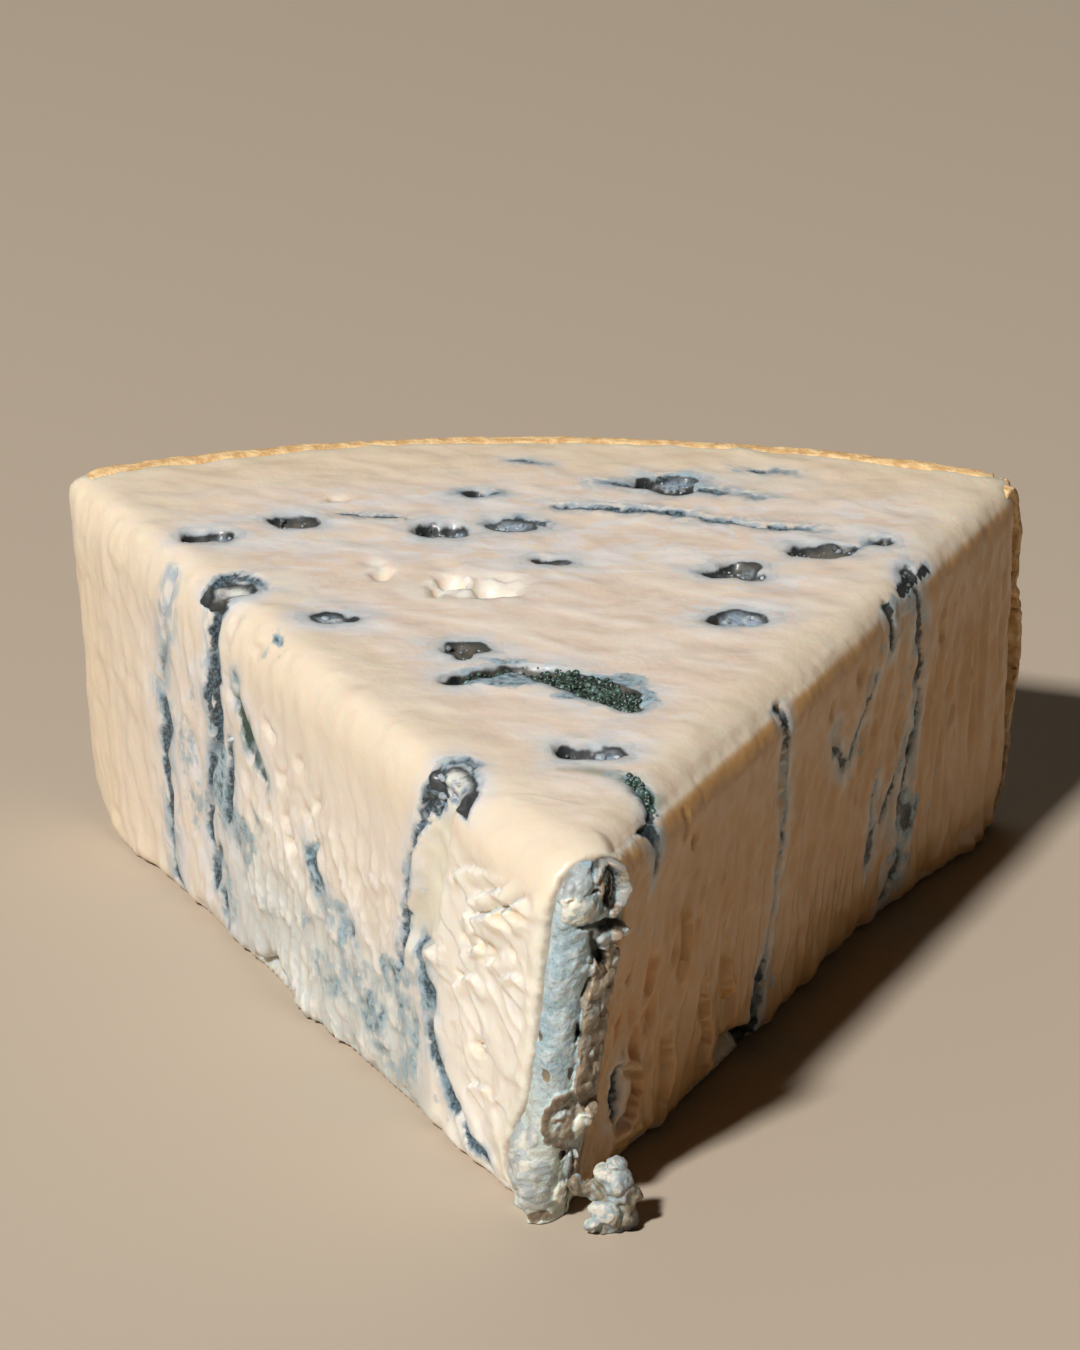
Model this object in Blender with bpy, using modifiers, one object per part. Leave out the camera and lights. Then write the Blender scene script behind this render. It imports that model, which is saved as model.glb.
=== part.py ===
"""A wedge of blue cheese cut from a small wheel: one soft solid, resting on its flat base.

Metres, +Z up. Shapes are worked out about the wheel's centre line, which stands near the
wedge's nose, with the rind toward +Y. At the end the body is moved so that its base's box
is centred on the origin.
"""

import math

import bmesh
import bpy
import numpy as np
from mathutils import Matrix, Vector, noise

MM = 0.001

WELD = 0.001 * MM

# The wheel the wedge was cut from.
WHEEL_RADIUS = 120 * MM
WHEEL_SEGMENTS = 144
HEEL_HEIGHT = 43 * MM
NOSE_HEIGHT = 41 * MM
FOOT_ROUNDING = 9 * MM
RIM_ROUNDING = 2.0 * MM

# The two cuts. Each face starts beside the centre line, runs out at its own angle from +Y,
# and leans in under the top by its undercut.
LEFT_START, LEFT_ANGLE, LEFT_UNDERCUT = -9.0 * MM, math.radians(24.7), math.radians(5.0)
RIGHT_START, RIGHT_ANGLE, RIGHT_UNDERCUT = 1.2 * MM, math.radians(26.7), math.radians(4.5)

# The blunt nose: a fan of narrow faces about an upright line, turned from -Y toward -X.
NOSE_CENTRE = Vector((-2.3, 2.8, 41.0)) * MM
NOSE_RADIUS = 6.6 * MM
NOSE_TURNS = tuple(math.radians(turn) for turn in (52, 34, 16, -2, -20, -38))
NOSE_LEAN = math.radians(4)

CUT_EDGE_ROUNDING = 3.5 * MM
BASE_ROUNDING = 1.2 * MM
FINE_GRID = 1.25 * MM
SHARE_KEPT = 0.13
WAVINESS = 0.7 * MM

PASTE_COLOUR = (0.80, 0.66, 0.47, 1.0)
PASTE_ROUGHNESS = 0.5

# Needle channels that open in the top: place, width across, length, depth.
TOP_CHANNELS = (
    (-40.0, 85.0, 5.6, 5.0, 3.5),
    (-30.0, 90.0, 6.0, 5.0, 3.0),
    (-14.0, 88.0, 6.4, 6.4, 4.5),
    (-5.5, 90.0, 6.2, 5.0, 2.0),
    (-9.0, 100.0, 7.0, 4.0, 2.5),
    (-2.5, 78.0, 5.0, 4.0, 2.5),
    (12.5, 103.0, 10.5, 8.0, 3.5),
    (18.0, 75.0, 7.0, 7.5, 4.0),
    (28.5, 81.0, 8.0, 5.5, 3.5),
    (36.0, 84.5, 3.2, 3.8, 1.5),
    (17.5, 61.0, 6.5, 5.0, 3.0),
    (-26.0, 60.5, 5.0, 4.5, 1.8),
    (-12.5, 51.5, 5.0, 5.0, 2.5),
    (-0.7, 23.6, 7.0, 5.2, 3.5),
    (-37.0, 69.5, 6.5, 8.0, 4.5),
    (-15.0, 16.5, 4.5, 10.0, 3.5),
    (36.8, 74.0, 3.2, 11.0, 3.0),
)
CURD_PIT = (-10.0, 71.0, 8.8, 7.6, 2.6)

# Mould-lined seams, by stations along them: x and y in the top, or the distance along a cut
# face and the height in a side. Each leaves a hollow of the radius given where it is cut.
TOP_CRACK = ((-14.5, 43.5), (-9.0, 46.0), (-4.5, 45.5), (0.0, 41.5), (4.5, 36.0))
LEFT_CHANNEL = ((64.0, 44.0), (72.5, 41.5), (72.5, 36.0), (73.5, 27.0), (76.0, 20.0), (78.0, 1.5))
LEFT_VEIN = ((86.5, 37.0), (87.3, 27.0), (88.4, 13.3), (89.2, 1.5))
NOSE_SEAM = ((15.0, 43.0), (18.0, 38.0), (22.0, 32.5), (27.0, 24.0), (28.5, 17.0))
LOWER_SEAM = ((23.5, 20.0), (24.5, 13.5), (22.5, 7.5), (16.0, 2.5))
RIGHT_VEIN = ((43.7, 41.5), (45.0, 31.0), (46.5, 20.5), (49.0, 4.5))
RIGHT_REAR_VEIN = ((80.0, 43.5), (84.5, 35.0), (88.0, 24.5), (88.5, 15.0), (86.0, 3.0))

# The half channel down the front of the nose: height, turn from -Y toward -X in degrees, width.
NOSE_CHANNEL = ((39.0, -3, 8.2), (32.0, 6, 7.2), (25.0, 14, 6.8), (16.5, 22, 7.0), (8.5, 36, 5.6))

# The crumb that hangs on at the foot of the nose: centre and radius of each lump.
CRUMB_LUMPS = (
    (-5.2, 1.6, 4.0, 3.0),
    (-1.8, 0.6, 4.6, 1.9),
    (0.6, -0.4, 5.6, 1.8),
    (1.2, -1.4, 2.7, 2.1),
)


def clear_scene():
    for thing in list(bpy.data.objects):
        bpy.data.objects.remove(thing, do_unlink=True)
    for group in list(bpy.data.collections):
        bpy.data.collections.remove(group)


def new_collection(name, helper=False):
    group = bpy.data.collections.new(name)
    group.hide_render = helper
    bpy.context.scene.collection.children.link(group)
    return group


def add_object(name, bm, group):
    """Turns a bmesh into an object of the given collection; what goes in a helper one is a guide."""
    mesh = bpy.data.meshes.new(name)
    bm.to_mesh(mesh)
    bm.free()
    thing = bpy.data.objects.new(name, mesh)
    group.objects.link(thing)
    if group.hide_render:
        thing.hide_render = True
        thing.display_type = "WIRE"
    return thing


def top_height(y):
    """Height of the top face: it rises a little from the nose to the rind."""
    return NOSE_HEIGHT + (HEEL_HEIGHT - NOSE_HEIGHT) * y / WHEEL_RADIUS


def left_normal():
    flat = Vector((-math.cos(LEFT_ANGLE), -math.sin(LEFT_ANGLE), 0))
    return flat * math.cos(LEFT_UNDERCUT) - Vector((0, 0, math.sin(LEFT_UNDERCUT)))


def right_normal():
    flat = Vector((math.cos(RIGHT_ANGLE), -math.sin(RIGHT_ANGLE), 0))
    return flat * math.cos(RIGHT_UNDERCUT) - Vector((0, 0, math.sin(RIGHT_UNDERCUT)))


def on_left(out, height):
    """The point of the left cut face `out` from its start and `height` above the base, from millimetres."""
    start = Vector((LEFT_START, 0, height * MM))
    along = Vector((-math.sin(LEFT_ANGLE), math.cos(LEFT_ANGLE), 0))
    inward = Vector((math.cos(LEFT_ANGLE), math.sin(LEFT_ANGLE), 0))
    return start + along * out * MM + inward * (NOSE_HEIGHT - height * MM) * math.tan(LEFT_UNDERCUT)


def on_right(out, height):
    """The same for the right cut face."""
    start = Vector((RIGHT_START, 0, height * MM))
    along = Vector((math.sin(RIGHT_ANGLE), math.cos(RIGHT_ANGLE), 0))
    inward = Vector((-math.cos(RIGHT_ANGLE), math.sin(RIGHT_ANGLE), 0))
    return start + along * out * MM + inward * (NOSE_HEIGHT - height * MM) * math.tan(RIGHT_UNDERCUT)


def nose_normal(turn):
    """Outward normal of a small nose face, turned from -Y toward -X and leaning like the other cuts."""
    flat = math.cos(NOSE_LEAN)
    return Vector((-math.sin(turn) * flat, -math.cos(turn) * flat, -math.sin(NOSE_LEAN)))


def cut_away(bm, point, normal):
    """Takes off what lies outside the plane and closes the cut with a flat face."""
    parts = bm.verts[:] + bm.edges[:] + bm.faces[:]
    cut = bmesh.ops.bisect_plane(bm, geom=parts, plane_co=point, plane_no=normal, clear_outer=True)
    rim = [part for part in cut["geom_cut"] if isinstance(part, bmesh.types.BMEdge)]
    bmesh.ops.edgeloop_fill(bm, edges=rim)


def edge_rounding(edge):
    """The rounding that an edge of the cut block gets, from the two faces it joins."""
    one, other = (face.normal for face in edge.link_faces)
    middle = (edge.verts[0].co + edge.verts[1].co) / 2
    if one.angle(other) < math.radians(30):
        return 0.0
    if middle.z < BASE_ROUNDING:
        return BASE_ROUNDING
    on_rim = Vector((middle.x, middle.y)).length > 0.985 * WHEEL_RADIUS
    return RIM_ROUNDING if on_rim and max(one.z, other.z) > 0.9 else CUT_EDGE_ROUNDING


def cut_block(group):
    """A slice of the wheel with plain flat cuts and rounded edges."""
    bm = bmesh.new()
    blank_height = 1.2 * HEEL_HEIGHT
    bmesh.ops.create_cone(
        bm,
        cap_ends=True,
        segments=WHEEL_SEGMENTS,
        radius1=WHEEL_RADIUS,
        radius2=WHEEL_RADIUS,
        depth=blank_height,
        matrix=Matrix.Translation((0, 0, blank_height / 2)),
    )
    foot = [edge for edge in bm.edges if max(v.co.z for v in edge.verts) < WELD]
    bmesh.ops.bevel(
        bm, geom=foot, offset=FOOT_ROUNDING, offset_type="OFFSET", segments=5, profile=0.5, affect="EDGES"
    )
    slope = (HEEL_HEIGHT - NOSE_HEIGHT) / WHEEL_RADIUS
    cut_away(bm, Vector((0, 0, NOSE_HEIGHT)), Vector((0, -slope, 1)).normalized())
    cut_away(bm, on_left(50, 20), left_normal())
    cut_away(bm, on_right(50, 20), right_normal())
    for turn in NOSE_TURNS:
        outward = nose_normal(turn)
        cut_away(bm, NOSE_CENTRE + outward * NOSE_RADIUS, outward)
    bm.normal_update()
    weights = bm.edges.layers.float.new("bevel_weight_edge")
    for edge in bm.edges:
        edge[weights] = edge_rounding(edge) / CUT_EDGE_ROUNDING
    block = add_object("cheese_wedge", bm, group)
    rounding = block.modifiers.new("rounded_edges", "BEVEL")
    rounding.limit_method = "WEIGHT"
    rounding.width = CUT_EDGE_ROUNDING
    rounding.segments = 3
    rounding.use_clamp_overlap = False
    grid = block.modifiers.new("fine_grid", "REMESH")
    grid.mode = "VOXEL"
    grid.voxel_size = FINE_GRID
    softening = block.modifiers.new("softened", "SMOOTH")
    softening.factor = 0.5
    softening.iterations = 4
    return block


def bake_modifiers(thing):
    """Replaces the object's mesh with its evaluated one."""
    bpy.context.view_layer.update()
    graph = bpy.context.evaluated_depsgraph_get()
    baked = bpy.data.meshes.new_from_object(thing.evaluated_get(graph))
    thing.modifiers.clear()
    plain = thing.data
    thing.data = baked
    bpy.data.meshes.remove(plain)


def bump(value, centre, reach):
    """1 at the centre, falling smoothly to 0 at `reach` on either side."""
    distance = abs(value - centre) / reach
    return 0.0 if distance >= 1 else 0.5 + 0.5 * math.cos(math.pi * distance)


def ease(value, start, end):
    """0 before the start, 1 after the end, with a smooth rise between."""
    t = min(1.0, max(0.0, (value - start) / (end - start)))
    return t * t * (3 - 2 * t)


def settled(point):
    """Where the soft paste has moved to, low down: the nose's foot leans left and the sides spread."""
    x, y, z = point / MM
    low = 1 - z / (NOSE_HEIGHT / MM)
    nose_lean = -1.6 * low * (1 - ease(y, 5, 40))
    left_spread = -1.3 * low * bump(y, 42, 38) * ease(-x, 2, 14)
    heel_spread = 3.6 * low * ease(y, 66, 100) * ease(x, 15, 45)
    return point + Vector((nose_lean + left_spread + heel_spread, 0, 0)) * MM


def unevenness(point, normal):
    """How far a surface point stands out from the plain cuts, along its normal."""
    slow = noise.noise(point / (22 * MM))
    # The wire drags down the cut sides, so their ripples stand upright.
    upright = noise.noise(Vector((point.x / (4 * MM), point.y / (4 * MM), point.z / (40 * MM))))
    side = 1 - abs(normal.z)
    shift = WAVINESS * (0.5 * slow + 0.7 * upright * side)
    x, y, z = point / MM
    if Vector((x, y)).length > 0.97 * WHEEL_RADIUS / MM and side > 0.5:
        # The rind bulges between two shallow creases.
        shift += 1.0 * MM * bump(z, 22, 14) - 0.5 * MM * bump(z, 36, 3)
    if normal.x > 0.6:
        # Low down near the nose the right side is torn back.
        shift -= 2.6 * MM * bump(y, 38, 16) * bump(z, 6, 16)
    if normal.z > 0.8:
        shift -= 0.5 * MM * bump(y, 60, 30)
    return shift


def make_uneven(thing):
    """Moves the free surface by its unevenness; the base stays flat at Z = 0."""
    mesh = thing.data
    flat = 2 * BASE_ROUNDING
    normals = [vertex.normal.copy() for vertex in mesh.vertices]
    lowest = min(vertex.co.z for vertex in mesh.vertices)
    for vertex, normal in zip(mesh.vertices, normals):
        vertex.co.z -= lowest
        if normal.z < -0.8 and vertex.co.z < flat:
            vertex.co = settled(vertex.co)
            vertex.co.z = 0.0
            continue
        hold = min(1.0, vertex.co.z / flat)
        vertex.co = settled(vertex.co + normal * unevenness(vertex.co, normal) * hold)
        vertex.co.z = max(vertex.co.z, 0.0)
    mesh.update()


def thin_out(thing):
    """Keeps the share of the fine grid that the shape needs: the flat base keeps hardly any of it."""
    thinning = thing.modifiers.new("thinned", "DECIMATE")
    thinning.ratio = SHARE_KEPT
    bake_modifiers(thing)


def hollow(name, place, reach, group, seed):
    """A rounded cutter with a slightly lumpy outline, reaching this far from its middle on each axis."""
    bm = bmesh.new()
    bmesh.ops.create_uvsphere(bm, u_segments=12, v_segments=7, radius=1.0)
    for vertex in bm.verts:
        lump = 1 + 0.14 * noise.noise(vertex.co * 1.3 + Vector((seed, 0, 0)))
        vertex.co = Vector(vertex.co[axis] * reach[axis] * lump for axis in range(3)) + place
    return add_object(name, bm, group)


def cut_top_hollows(group):
    for index, (x, y, width, length, depth) in enumerate(TOP_CHANNELS + (CURD_PIT,)):
        place = Vector((x * MM, y * MM, top_height(y * MM)))
        reach = (width * MM / 2, length * MM / 2, depth * MM)
        hollow(f"top_hollow_{index}", place, reach, group, 3.7 * index)


def tube_along(name, points, radii, group):
    """A closed tube through the points, as a mesh, with its own radius at each."""
    route = bpy.data.curves.new(name, "CURVE")
    route.dimensions = "3D"
    route.bevel_depth = 1.0
    route.bevel_resolution = 2
    route.use_fill_caps = True
    spline = route.splines.new("POLY")
    spline.points.add(len(points) - 1)
    for control, point, radius in zip(spline.points, points, radii):
        control.co = (*point, 1)
        control.radius = radius
    guide = bpy.data.objects.new(name, route)
    group.objects.link(guide)
    bpy.context.view_layer.update()
    graph = bpy.context.evaluated_depsgraph_get()
    mesh = bpy.data.meshes.new_from_object(guide.evaluated_get(graph))
    bpy.data.objects.remove(guide, do_unlink=True)
    bm = bmesh.new()
    bm.from_mesh(mesh)
    bmesh.ops.remove_doubles(bm, verts=bm.verts[:], dist=WELD)
    bmesh.ops.recalc_face_normals(bm, faces=bm.faces[:])
    bpy.data.meshes.remove(mesh)
    return add_object(name, bm, group)


def smooth_route(points, steps):
    """More points along the same route, on a Catmull-Rom curve."""
    route = [Vector(p) for p in points]
    ends = [2 * route[0] - route[1]] + route + [2 * route[-1] - route[-2]]
    found = []
    for index in range(1, len(ends) - 2):
        before, start, end, after = ends[index - 1 : index + 3]
        for step in range(steps):
            t = step / steps
            found.append(
                0.5
                * (
                    2 * start
                    + (end - before) * t
                    + (2 * before - 5 * start + 4 * end - after) * t * t
                    + (3 * start - before - 3 * end + after) * t * t * t
                )
            )
    return found + [route[-1]]


def cut_seam(name, points, radius, group):
    """A seam's hollow: a tube of slightly uneven radius along a smooth route."""
    route = smooth_route(points, 3)
    radii = []
    for index in range(len(route)):
        along = index / (len(route) - 1)
        taper = 0.45 + 0.55 * ease(min(along, 1 - along), 0, 0.2)
        lumps = 1 + 0.22 * noise.noise(Vector((len(name), index * 0.7, 0)))
        radii.append(radius * MM * taper * lumps)
    tube_along(name, route, radii, group)


def cut_seams(group):
    """The hollows that the seams leave; in a side, the tube's middle stands a little proud of the face."""
    crack = [Vector((x * MM, y * MM, top_height(y * MM) - 0.6 * MM)) for x, y in TOP_CRACK]
    cut_seam("top_crack", crack, 2.5, group)
    left, right = left_normal(), right_normal()
    seams = (
        ("left_channel", [on_left(*at) for at in LEFT_CHANNEL], left, 2.4, 0.6),
        ("left_vein", [on_left(*at) for at in LEFT_VEIN], left, 1.3, 0.5),
        ("nose_seam", [on_left(*at) for at in NOSE_SEAM], left, 1.7, 0.3),
        ("lower_seam", [on_left(*at) for at in LOWER_SEAM], left, 1.2, 0.4),
        ("right_vein", [on_right(*at) for at in RIGHT_VEIN], right, 1.1, 0.2),
        ("right_rear_vein", [on_right(*at) for at in RIGHT_REAR_VEIN], right, 1.3, 0.4),
    )
    for name, points, outward, radius, lift in seams:
        cut_seam(name, [settled(point + outward * lift * MM) for point in points], radius, group)
    points, radii = [], []
    for height, degrees, width in NOSE_CHANNEL:
        turn = math.radians(degrees)
        below = NOSE_CENTRE.z - height * MM
        reach = NOSE_RADIUS - below * math.tan(NOSE_LEAN) + 0.28 * width * MM
        outward = Vector((-math.sin(turn), -math.cos(turn), 0))
        points.append(settled(NOSE_CENTRE + outward * reach - Vector((0, 0, below))))
        radii.append(width * MM / 2)
    tube_along("nose_channel", points, radii, group)


def add_crumb(group):
    """Lumps that overlap each other and the nose, to be joined to it."""
    for index, (x, y, z, radius) in enumerate(CRUMB_LUMPS):
        bm = bmesh.new()
        bmesh.ops.create_icosphere(bm, subdivisions=2, radius=radius * MM)
        for vertex in bm.verts:
            vertex.co *= 1 + 0.3 * noise.noise(vertex.co / (1.6 * MM) + Vector((0, 0, 5.0 * index)))
            vertex.co += Vector((x, y, z)) * MM
            vertex.co.z = max(vertex.co.z, 0.35 * MM)
        add_object(f"crumb_lump_{index}", bm, group)


def combine(thing, operation, group):
    step = thing.modifiers.new(group.name, "BOOLEAN")
    step.operation = operation
    step.operand_type = "COLLECTION"
    step.collection = group
    step.solver = "EXACT"


def centre_on_base(thing):
    """Moves the mesh so that its box stands on Z = 0, centred on the origin."""
    places = np.empty(len(thing.data.vertices) * 3)
    thing.data.vertices.foreach_get("co", places)
    places = places.reshape(-1, 3)
    low, high = places.min(axis=0), places.max(axis=0)
    thing.data.transform(Matrix.Translation((-(low[0] + high[0]) / 2, -(low[1] + high[1]) / 2, -low[2])))


def paste_material():
    material = bpy.data.materials.new("cheese_paste")
    material.use_nodes = True
    shader = material.node_tree.nodes["Principled BSDF"]
    shader.inputs["Base Color"].default_value = PASTE_COLOUR
    shader.inputs["Roughness"].default_value = PASTE_ROUGHNESS
    shader.inputs["Metallic"].default_value = 0.0
    return material


def main():
    clear_scene()
    cheese = new_collection("blue_cheese_wedge")
    hollows = new_collection("hollows", helper=True)
    crumbs = new_collection("crumbs", helper=True)
    wedge = cut_block(cheese)
    bake_modifiers(wedge)
    make_uneven(wedge)
    thin_out(wedge)
    cut_top_hollows(hollows)
    cut_seams(hollows)
    add_crumb(crumbs)
    combine(wedge, "DIFFERENCE", hollows)
    combine(wedge, "UNION", crumbs)
    bake_modifiers(wedge)
    centre_on_base(wedge)
    wedge.data.materials.clear()
    wedge.data.materials.append(paste_material())
    wedge.data.shade_smooth()
    wedge.data.set_sharp_from_angle(angle=math.radians(40))


main()
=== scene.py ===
# %% [markdown]
# # A wedge of blue cheese
#
# The wedge was cut from a small wheel with a wire. Its paste is soft and pale, needle holes run down
# through it and are lined with blue mould, and the wheel's dry rind shows at the heel. The CAD model
# gives the wedge's size and place; this script makes everything that is seen.

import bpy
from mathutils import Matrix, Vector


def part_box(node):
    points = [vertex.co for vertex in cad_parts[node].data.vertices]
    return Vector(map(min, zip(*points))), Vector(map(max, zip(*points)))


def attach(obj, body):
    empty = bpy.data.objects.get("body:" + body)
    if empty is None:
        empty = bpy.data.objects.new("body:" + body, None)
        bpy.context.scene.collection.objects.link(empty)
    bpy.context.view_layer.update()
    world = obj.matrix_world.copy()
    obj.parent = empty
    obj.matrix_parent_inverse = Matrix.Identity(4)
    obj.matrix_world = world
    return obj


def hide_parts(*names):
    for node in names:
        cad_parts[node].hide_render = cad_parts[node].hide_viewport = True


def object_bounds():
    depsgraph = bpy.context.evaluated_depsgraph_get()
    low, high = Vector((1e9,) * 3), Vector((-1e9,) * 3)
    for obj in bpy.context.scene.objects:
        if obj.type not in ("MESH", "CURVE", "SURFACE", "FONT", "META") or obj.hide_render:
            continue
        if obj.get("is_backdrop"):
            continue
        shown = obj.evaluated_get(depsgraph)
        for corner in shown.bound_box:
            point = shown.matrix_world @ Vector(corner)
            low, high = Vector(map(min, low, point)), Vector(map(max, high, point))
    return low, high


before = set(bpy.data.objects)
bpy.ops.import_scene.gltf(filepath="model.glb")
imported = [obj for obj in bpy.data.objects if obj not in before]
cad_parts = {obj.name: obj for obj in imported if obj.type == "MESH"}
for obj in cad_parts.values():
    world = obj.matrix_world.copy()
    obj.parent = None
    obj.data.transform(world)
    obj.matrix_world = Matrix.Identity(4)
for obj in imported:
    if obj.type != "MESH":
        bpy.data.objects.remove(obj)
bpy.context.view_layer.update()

import math

import bmesh
import bpy
import numpy as np
from mathutils import Matrix, Vector
from mathutils.bvhtree import BVHTree

MM = 0.001
low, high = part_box("cheese_wedge")
print("wedge, mm:", [round(size / MM, 1) for size in high - low])

# %% [markdown]
# Every place on the cheese is given in millimetres from the centre line of the wheel it was cut from,
# because the rind is a circle about that line and both cuts aim near it. The line stands close to the
# wedge's nose, and the frame's box says where.

# %% The wheel and the two cuts
WHEEL_RADIUS = 120.0
RIND_BULGE = 1.13
HEEL_HEIGHT, NOSE_HEIGHT = 43.0, 41.0
CENTRE = Vector((0.58 * MM, high.y - (WHEEL_RADIUS + RIND_BULGE) * MM, 0.0))

LEFT_START, LEFT_ANGLE, LEFT_UNDERCUT = -9.0, math.radians(24.7), math.radians(5.0)
RIGHT_START, RIGHT_ANGLE, RIGHT_UNDERCUT = 1.2, math.radians(26.7), math.radians(4.5)
NOSE_CENTRE, NOSE_RADIUS, NOSE_LEAN = Vector((-2.3, 2.8, 41.0)), 6.6, math.radians(4)
FINE = 0.58


def top_height(y):
    """Height of the top face, which rises a little toward the rind."""
    return NOSE_HEIGHT + (HEEL_HEIGHT - NOSE_HEIGHT) * y / WHEEL_RADIUS


def cut_face(start, angle, undercut, side):
    """A cut face as (a point of its top edge, direction toward the rind, outward normal)."""
    along = Vector((side * math.sin(angle), math.cos(angle), 0))
    flat = Vector((side * math.cos(angle), -math.sin(angle), 0))
    outward = flat * math.cos(undercut) - Vector((0, 0, math.sin(undercut)))
    return Vector((start, 0, NOSE_HEIGHT)), along, outward


LEFT = cut_face(LEFT_START, LEFT_ANGLE, LEFT_UNDERCUT, -1)
RIGHT = cut_face(RIGHT_START, RIGHT_ANGLE, RIGHT_UNDERCUT, 1)


# %% [markdown]
# The camera comes first, so that each piece can be judged as it is made. It is a long lens, close to
# level, looking at the nose. The light is a studio version of low sun: one lamp from the front left
# that rakes over the cuts, and a broad weak one that keeps the shaded side readable.


# %% Camera
LENS, SENSOR = 144, 36
AZIMUTH, ELEVATION, ROLL = math.radians(-3.43), math.radians(21.0), math.radians(1.5)
DISTANCE = 626.1
AIM = Vector((-1.52, 100.56, 20.0))


def placed(point):
    """A point in millimetres from the wheel's centre line, as a place in the scene."""
    return Vector(point) * MM + CENTRE


def toward(azimuth, elevation):
    """Unit direction from the cheese toward something at this azimuth (0 is in front) and height."""
    level = math.cos(elevation)
    return Vector((math.sin(azimuth) * level, -math.cos(azimuth) * level, math.sin(elevation)))


camera_data = bpy.data.cameras.new("camera")
camera_data.lens, camera_data.sensor_width = LENS, SENSOR
camera_data.clip_start, camera_data.clip_end = 0.01, 10
camera = bpy.data.objects.new("camera", camera_data)
bpy.context.collection.objects.link(camera)
back = toward(AZIMUTH, ELEVATION)
camera.location = placed(AIM + back * DISTANCE)
camera.rotation_mode = "QUATERNION"
level_look = (-back).to_track_quat("-Z", "Y").to_matrix()
camera.rotation_quaternion = (level_look @ Matrix.Rotation(ROLL, 3, "Z")).to_quaternion()
bpy.context.scene.camera = camera


# %% Light and floor
def soft_lamp(name, azimuth, elevation, distance, size, power, colour):
    data = bpy.data.lights.new(name, "AREA")
    data.size, data.energy, data.color = size, power, colour
    lamp = bpy.data.objects.new(name, data)
    bpy.context.collection.objects.link(lamp)
    direction = toward(math.radians(azimuth), math.radians(elevation))
    lamp.location = placed((0, 60, 20)) + direction * distance
    lamp.rotation_mode = "QUATERNION"
    lamp.rotation_quaternion = (-direction).to_track_quat("-Z", "Y")
    return lamp


soft_lamp("key", -35, 44, 3.0, 0.26, 112, (1.0, 0.965, 0.94))
soft_lamp("fill", 75, 30, 1.2, 0.9, 0.06, (1.0, 0.62, 0.28))
soft_lamp("back_fill", 190, 40, 1.2, 0.9, 1.2, (1.0, 0.95, 0.86))

world = bpy.data.worlds.new("studio")
world.use_nodes = True
world.node_tree.nodes["Background"].inputs["Color"].default_value = (1.0, 0.85, 0.62, 1)
world.node_tree.nodes["Background"].inputs["Strength"].default_value = 0.017
bpy.context.scene.world = world
bpy.context.scene.view_settings.view_transform = "Standard"

bpy.ops.mesh.primitive_plane_add(size=6, location=(0, 0, -0.0001))
floor = bpy.context.object
floor.name = "floor"
pale = bpy.data.materials.new("pale_floor")
pale.use_nodes = True
pale.node_tree.nodes["Principled BSDF"].inputs["Base Color"].default_value = (0.50, 0.42, 0.325, 1)
pale.node_tree.nodes["Principled BSDF"].inputs["Roughness"].default_value = 0.85
floor.data.materials.append(pale)
floor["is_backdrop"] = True

# %% [markdown]
# Nothing on a cheese is even, so much of the shape and colour comes from noise. These few functions
# work on all points of a mesh at once, which is much faster than asking for one point at a time.


# %% Noise on many points
def lattice(cells, seed):
    """A repeatable number from 0 to 1 for each whole-number cell."""
    x, y, z = (cells[..., axis].astype(np.uint32) for axis in range(3))
    mixed = x * np.uint32(73856093) ^ y * np.uint32(19349663) ^ z * np.uint32(83492791) ^ np.uint32(seed * 7919 + 17)
    for shift, factor in ((15, 2246822519), (13, 3266489917)):
        mixed = (mixed ^ (mixed >> np.uint32(shift))) * np.uint32(factor)
    return ((mixed ^ (mixed >> np.uint32(16))) & np.uint32(0xFFFF)) / 65535.0


def noise(points, size, seed=0):
    """Smooth noise from -1 to 1 with features about `size` millimetres across; size may differ by axis."""
    scaled = points / np.asarray(size, float) + seed * 0.37
    base = np.floor(scaled).astype(np.int64)
    part = scaled - base
    part = part * part * part * (part * (part * 6 - 15) + 10)
    total = np.zeros(len(points))
    for corner in np.ndindex(2, 2, 2):
        weight = np.prod(np.where(corner, part, 1 - part), axis=1)
        total += weight * lattice(base + np.array(corner), seed)
    return 2 * total - 1


def rough(points, size, seed=0, octaves=3):
    """Noise with finer layers added, each half the size and strength of the last."""
    layers = [noise(points, np.asarray(size, float) / 2**i, seed + i) / 2**i for i in range(octaves)]
    return sum(layers) / sum(0.5**i for i in range(octaves)) * 1.3


def cells(points, size, seed=0):
    """Distance to the nearest of scattered seeds, about 0 to 1, and a number that tells seeds apart."""
    scaled = points / np.asarray(size, float)
    base = np.floor(scaled).astype(np.int64)
    nearest = np.full(len(points), 9.0)
    owner = np.zeros(len(points))
    for offset in np.ndindex(3, 3, 3):
        cell = base + np.array(offset) - 1
        seeds = cell + np.stack([lattice(cell, seed + axis) for axis in range(3)], axis=1)
        distance = np.linalg.norm(scaled - seeds, axis=1)
        closer = distance < nearest
        nearest = np.where(closer, distance, nearest)
        owner = np.where(closer, lattice(cell, seed + 5), owner)
    return nearest, owner


def ease(values, start, end):
    """0 before the start, 1 after the end, and a smooth rise between."""
    t = np.clip((values - start) / (end - start), 0, 1)
    return t * t * (3 - 2 * t)


def around(values, centre, reach):
    """1 at the centre, falling smoothly to 0 at `reach` on either side."""
    return 1 - ease(np.abs(values - centre), 0, reach)


# %% [markdown]
# The needle holes, cracks and veins are what make the cheese this one and no other, so each is listed
# once and used twice: to hollow the paste, and to say where mould grows.

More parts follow.
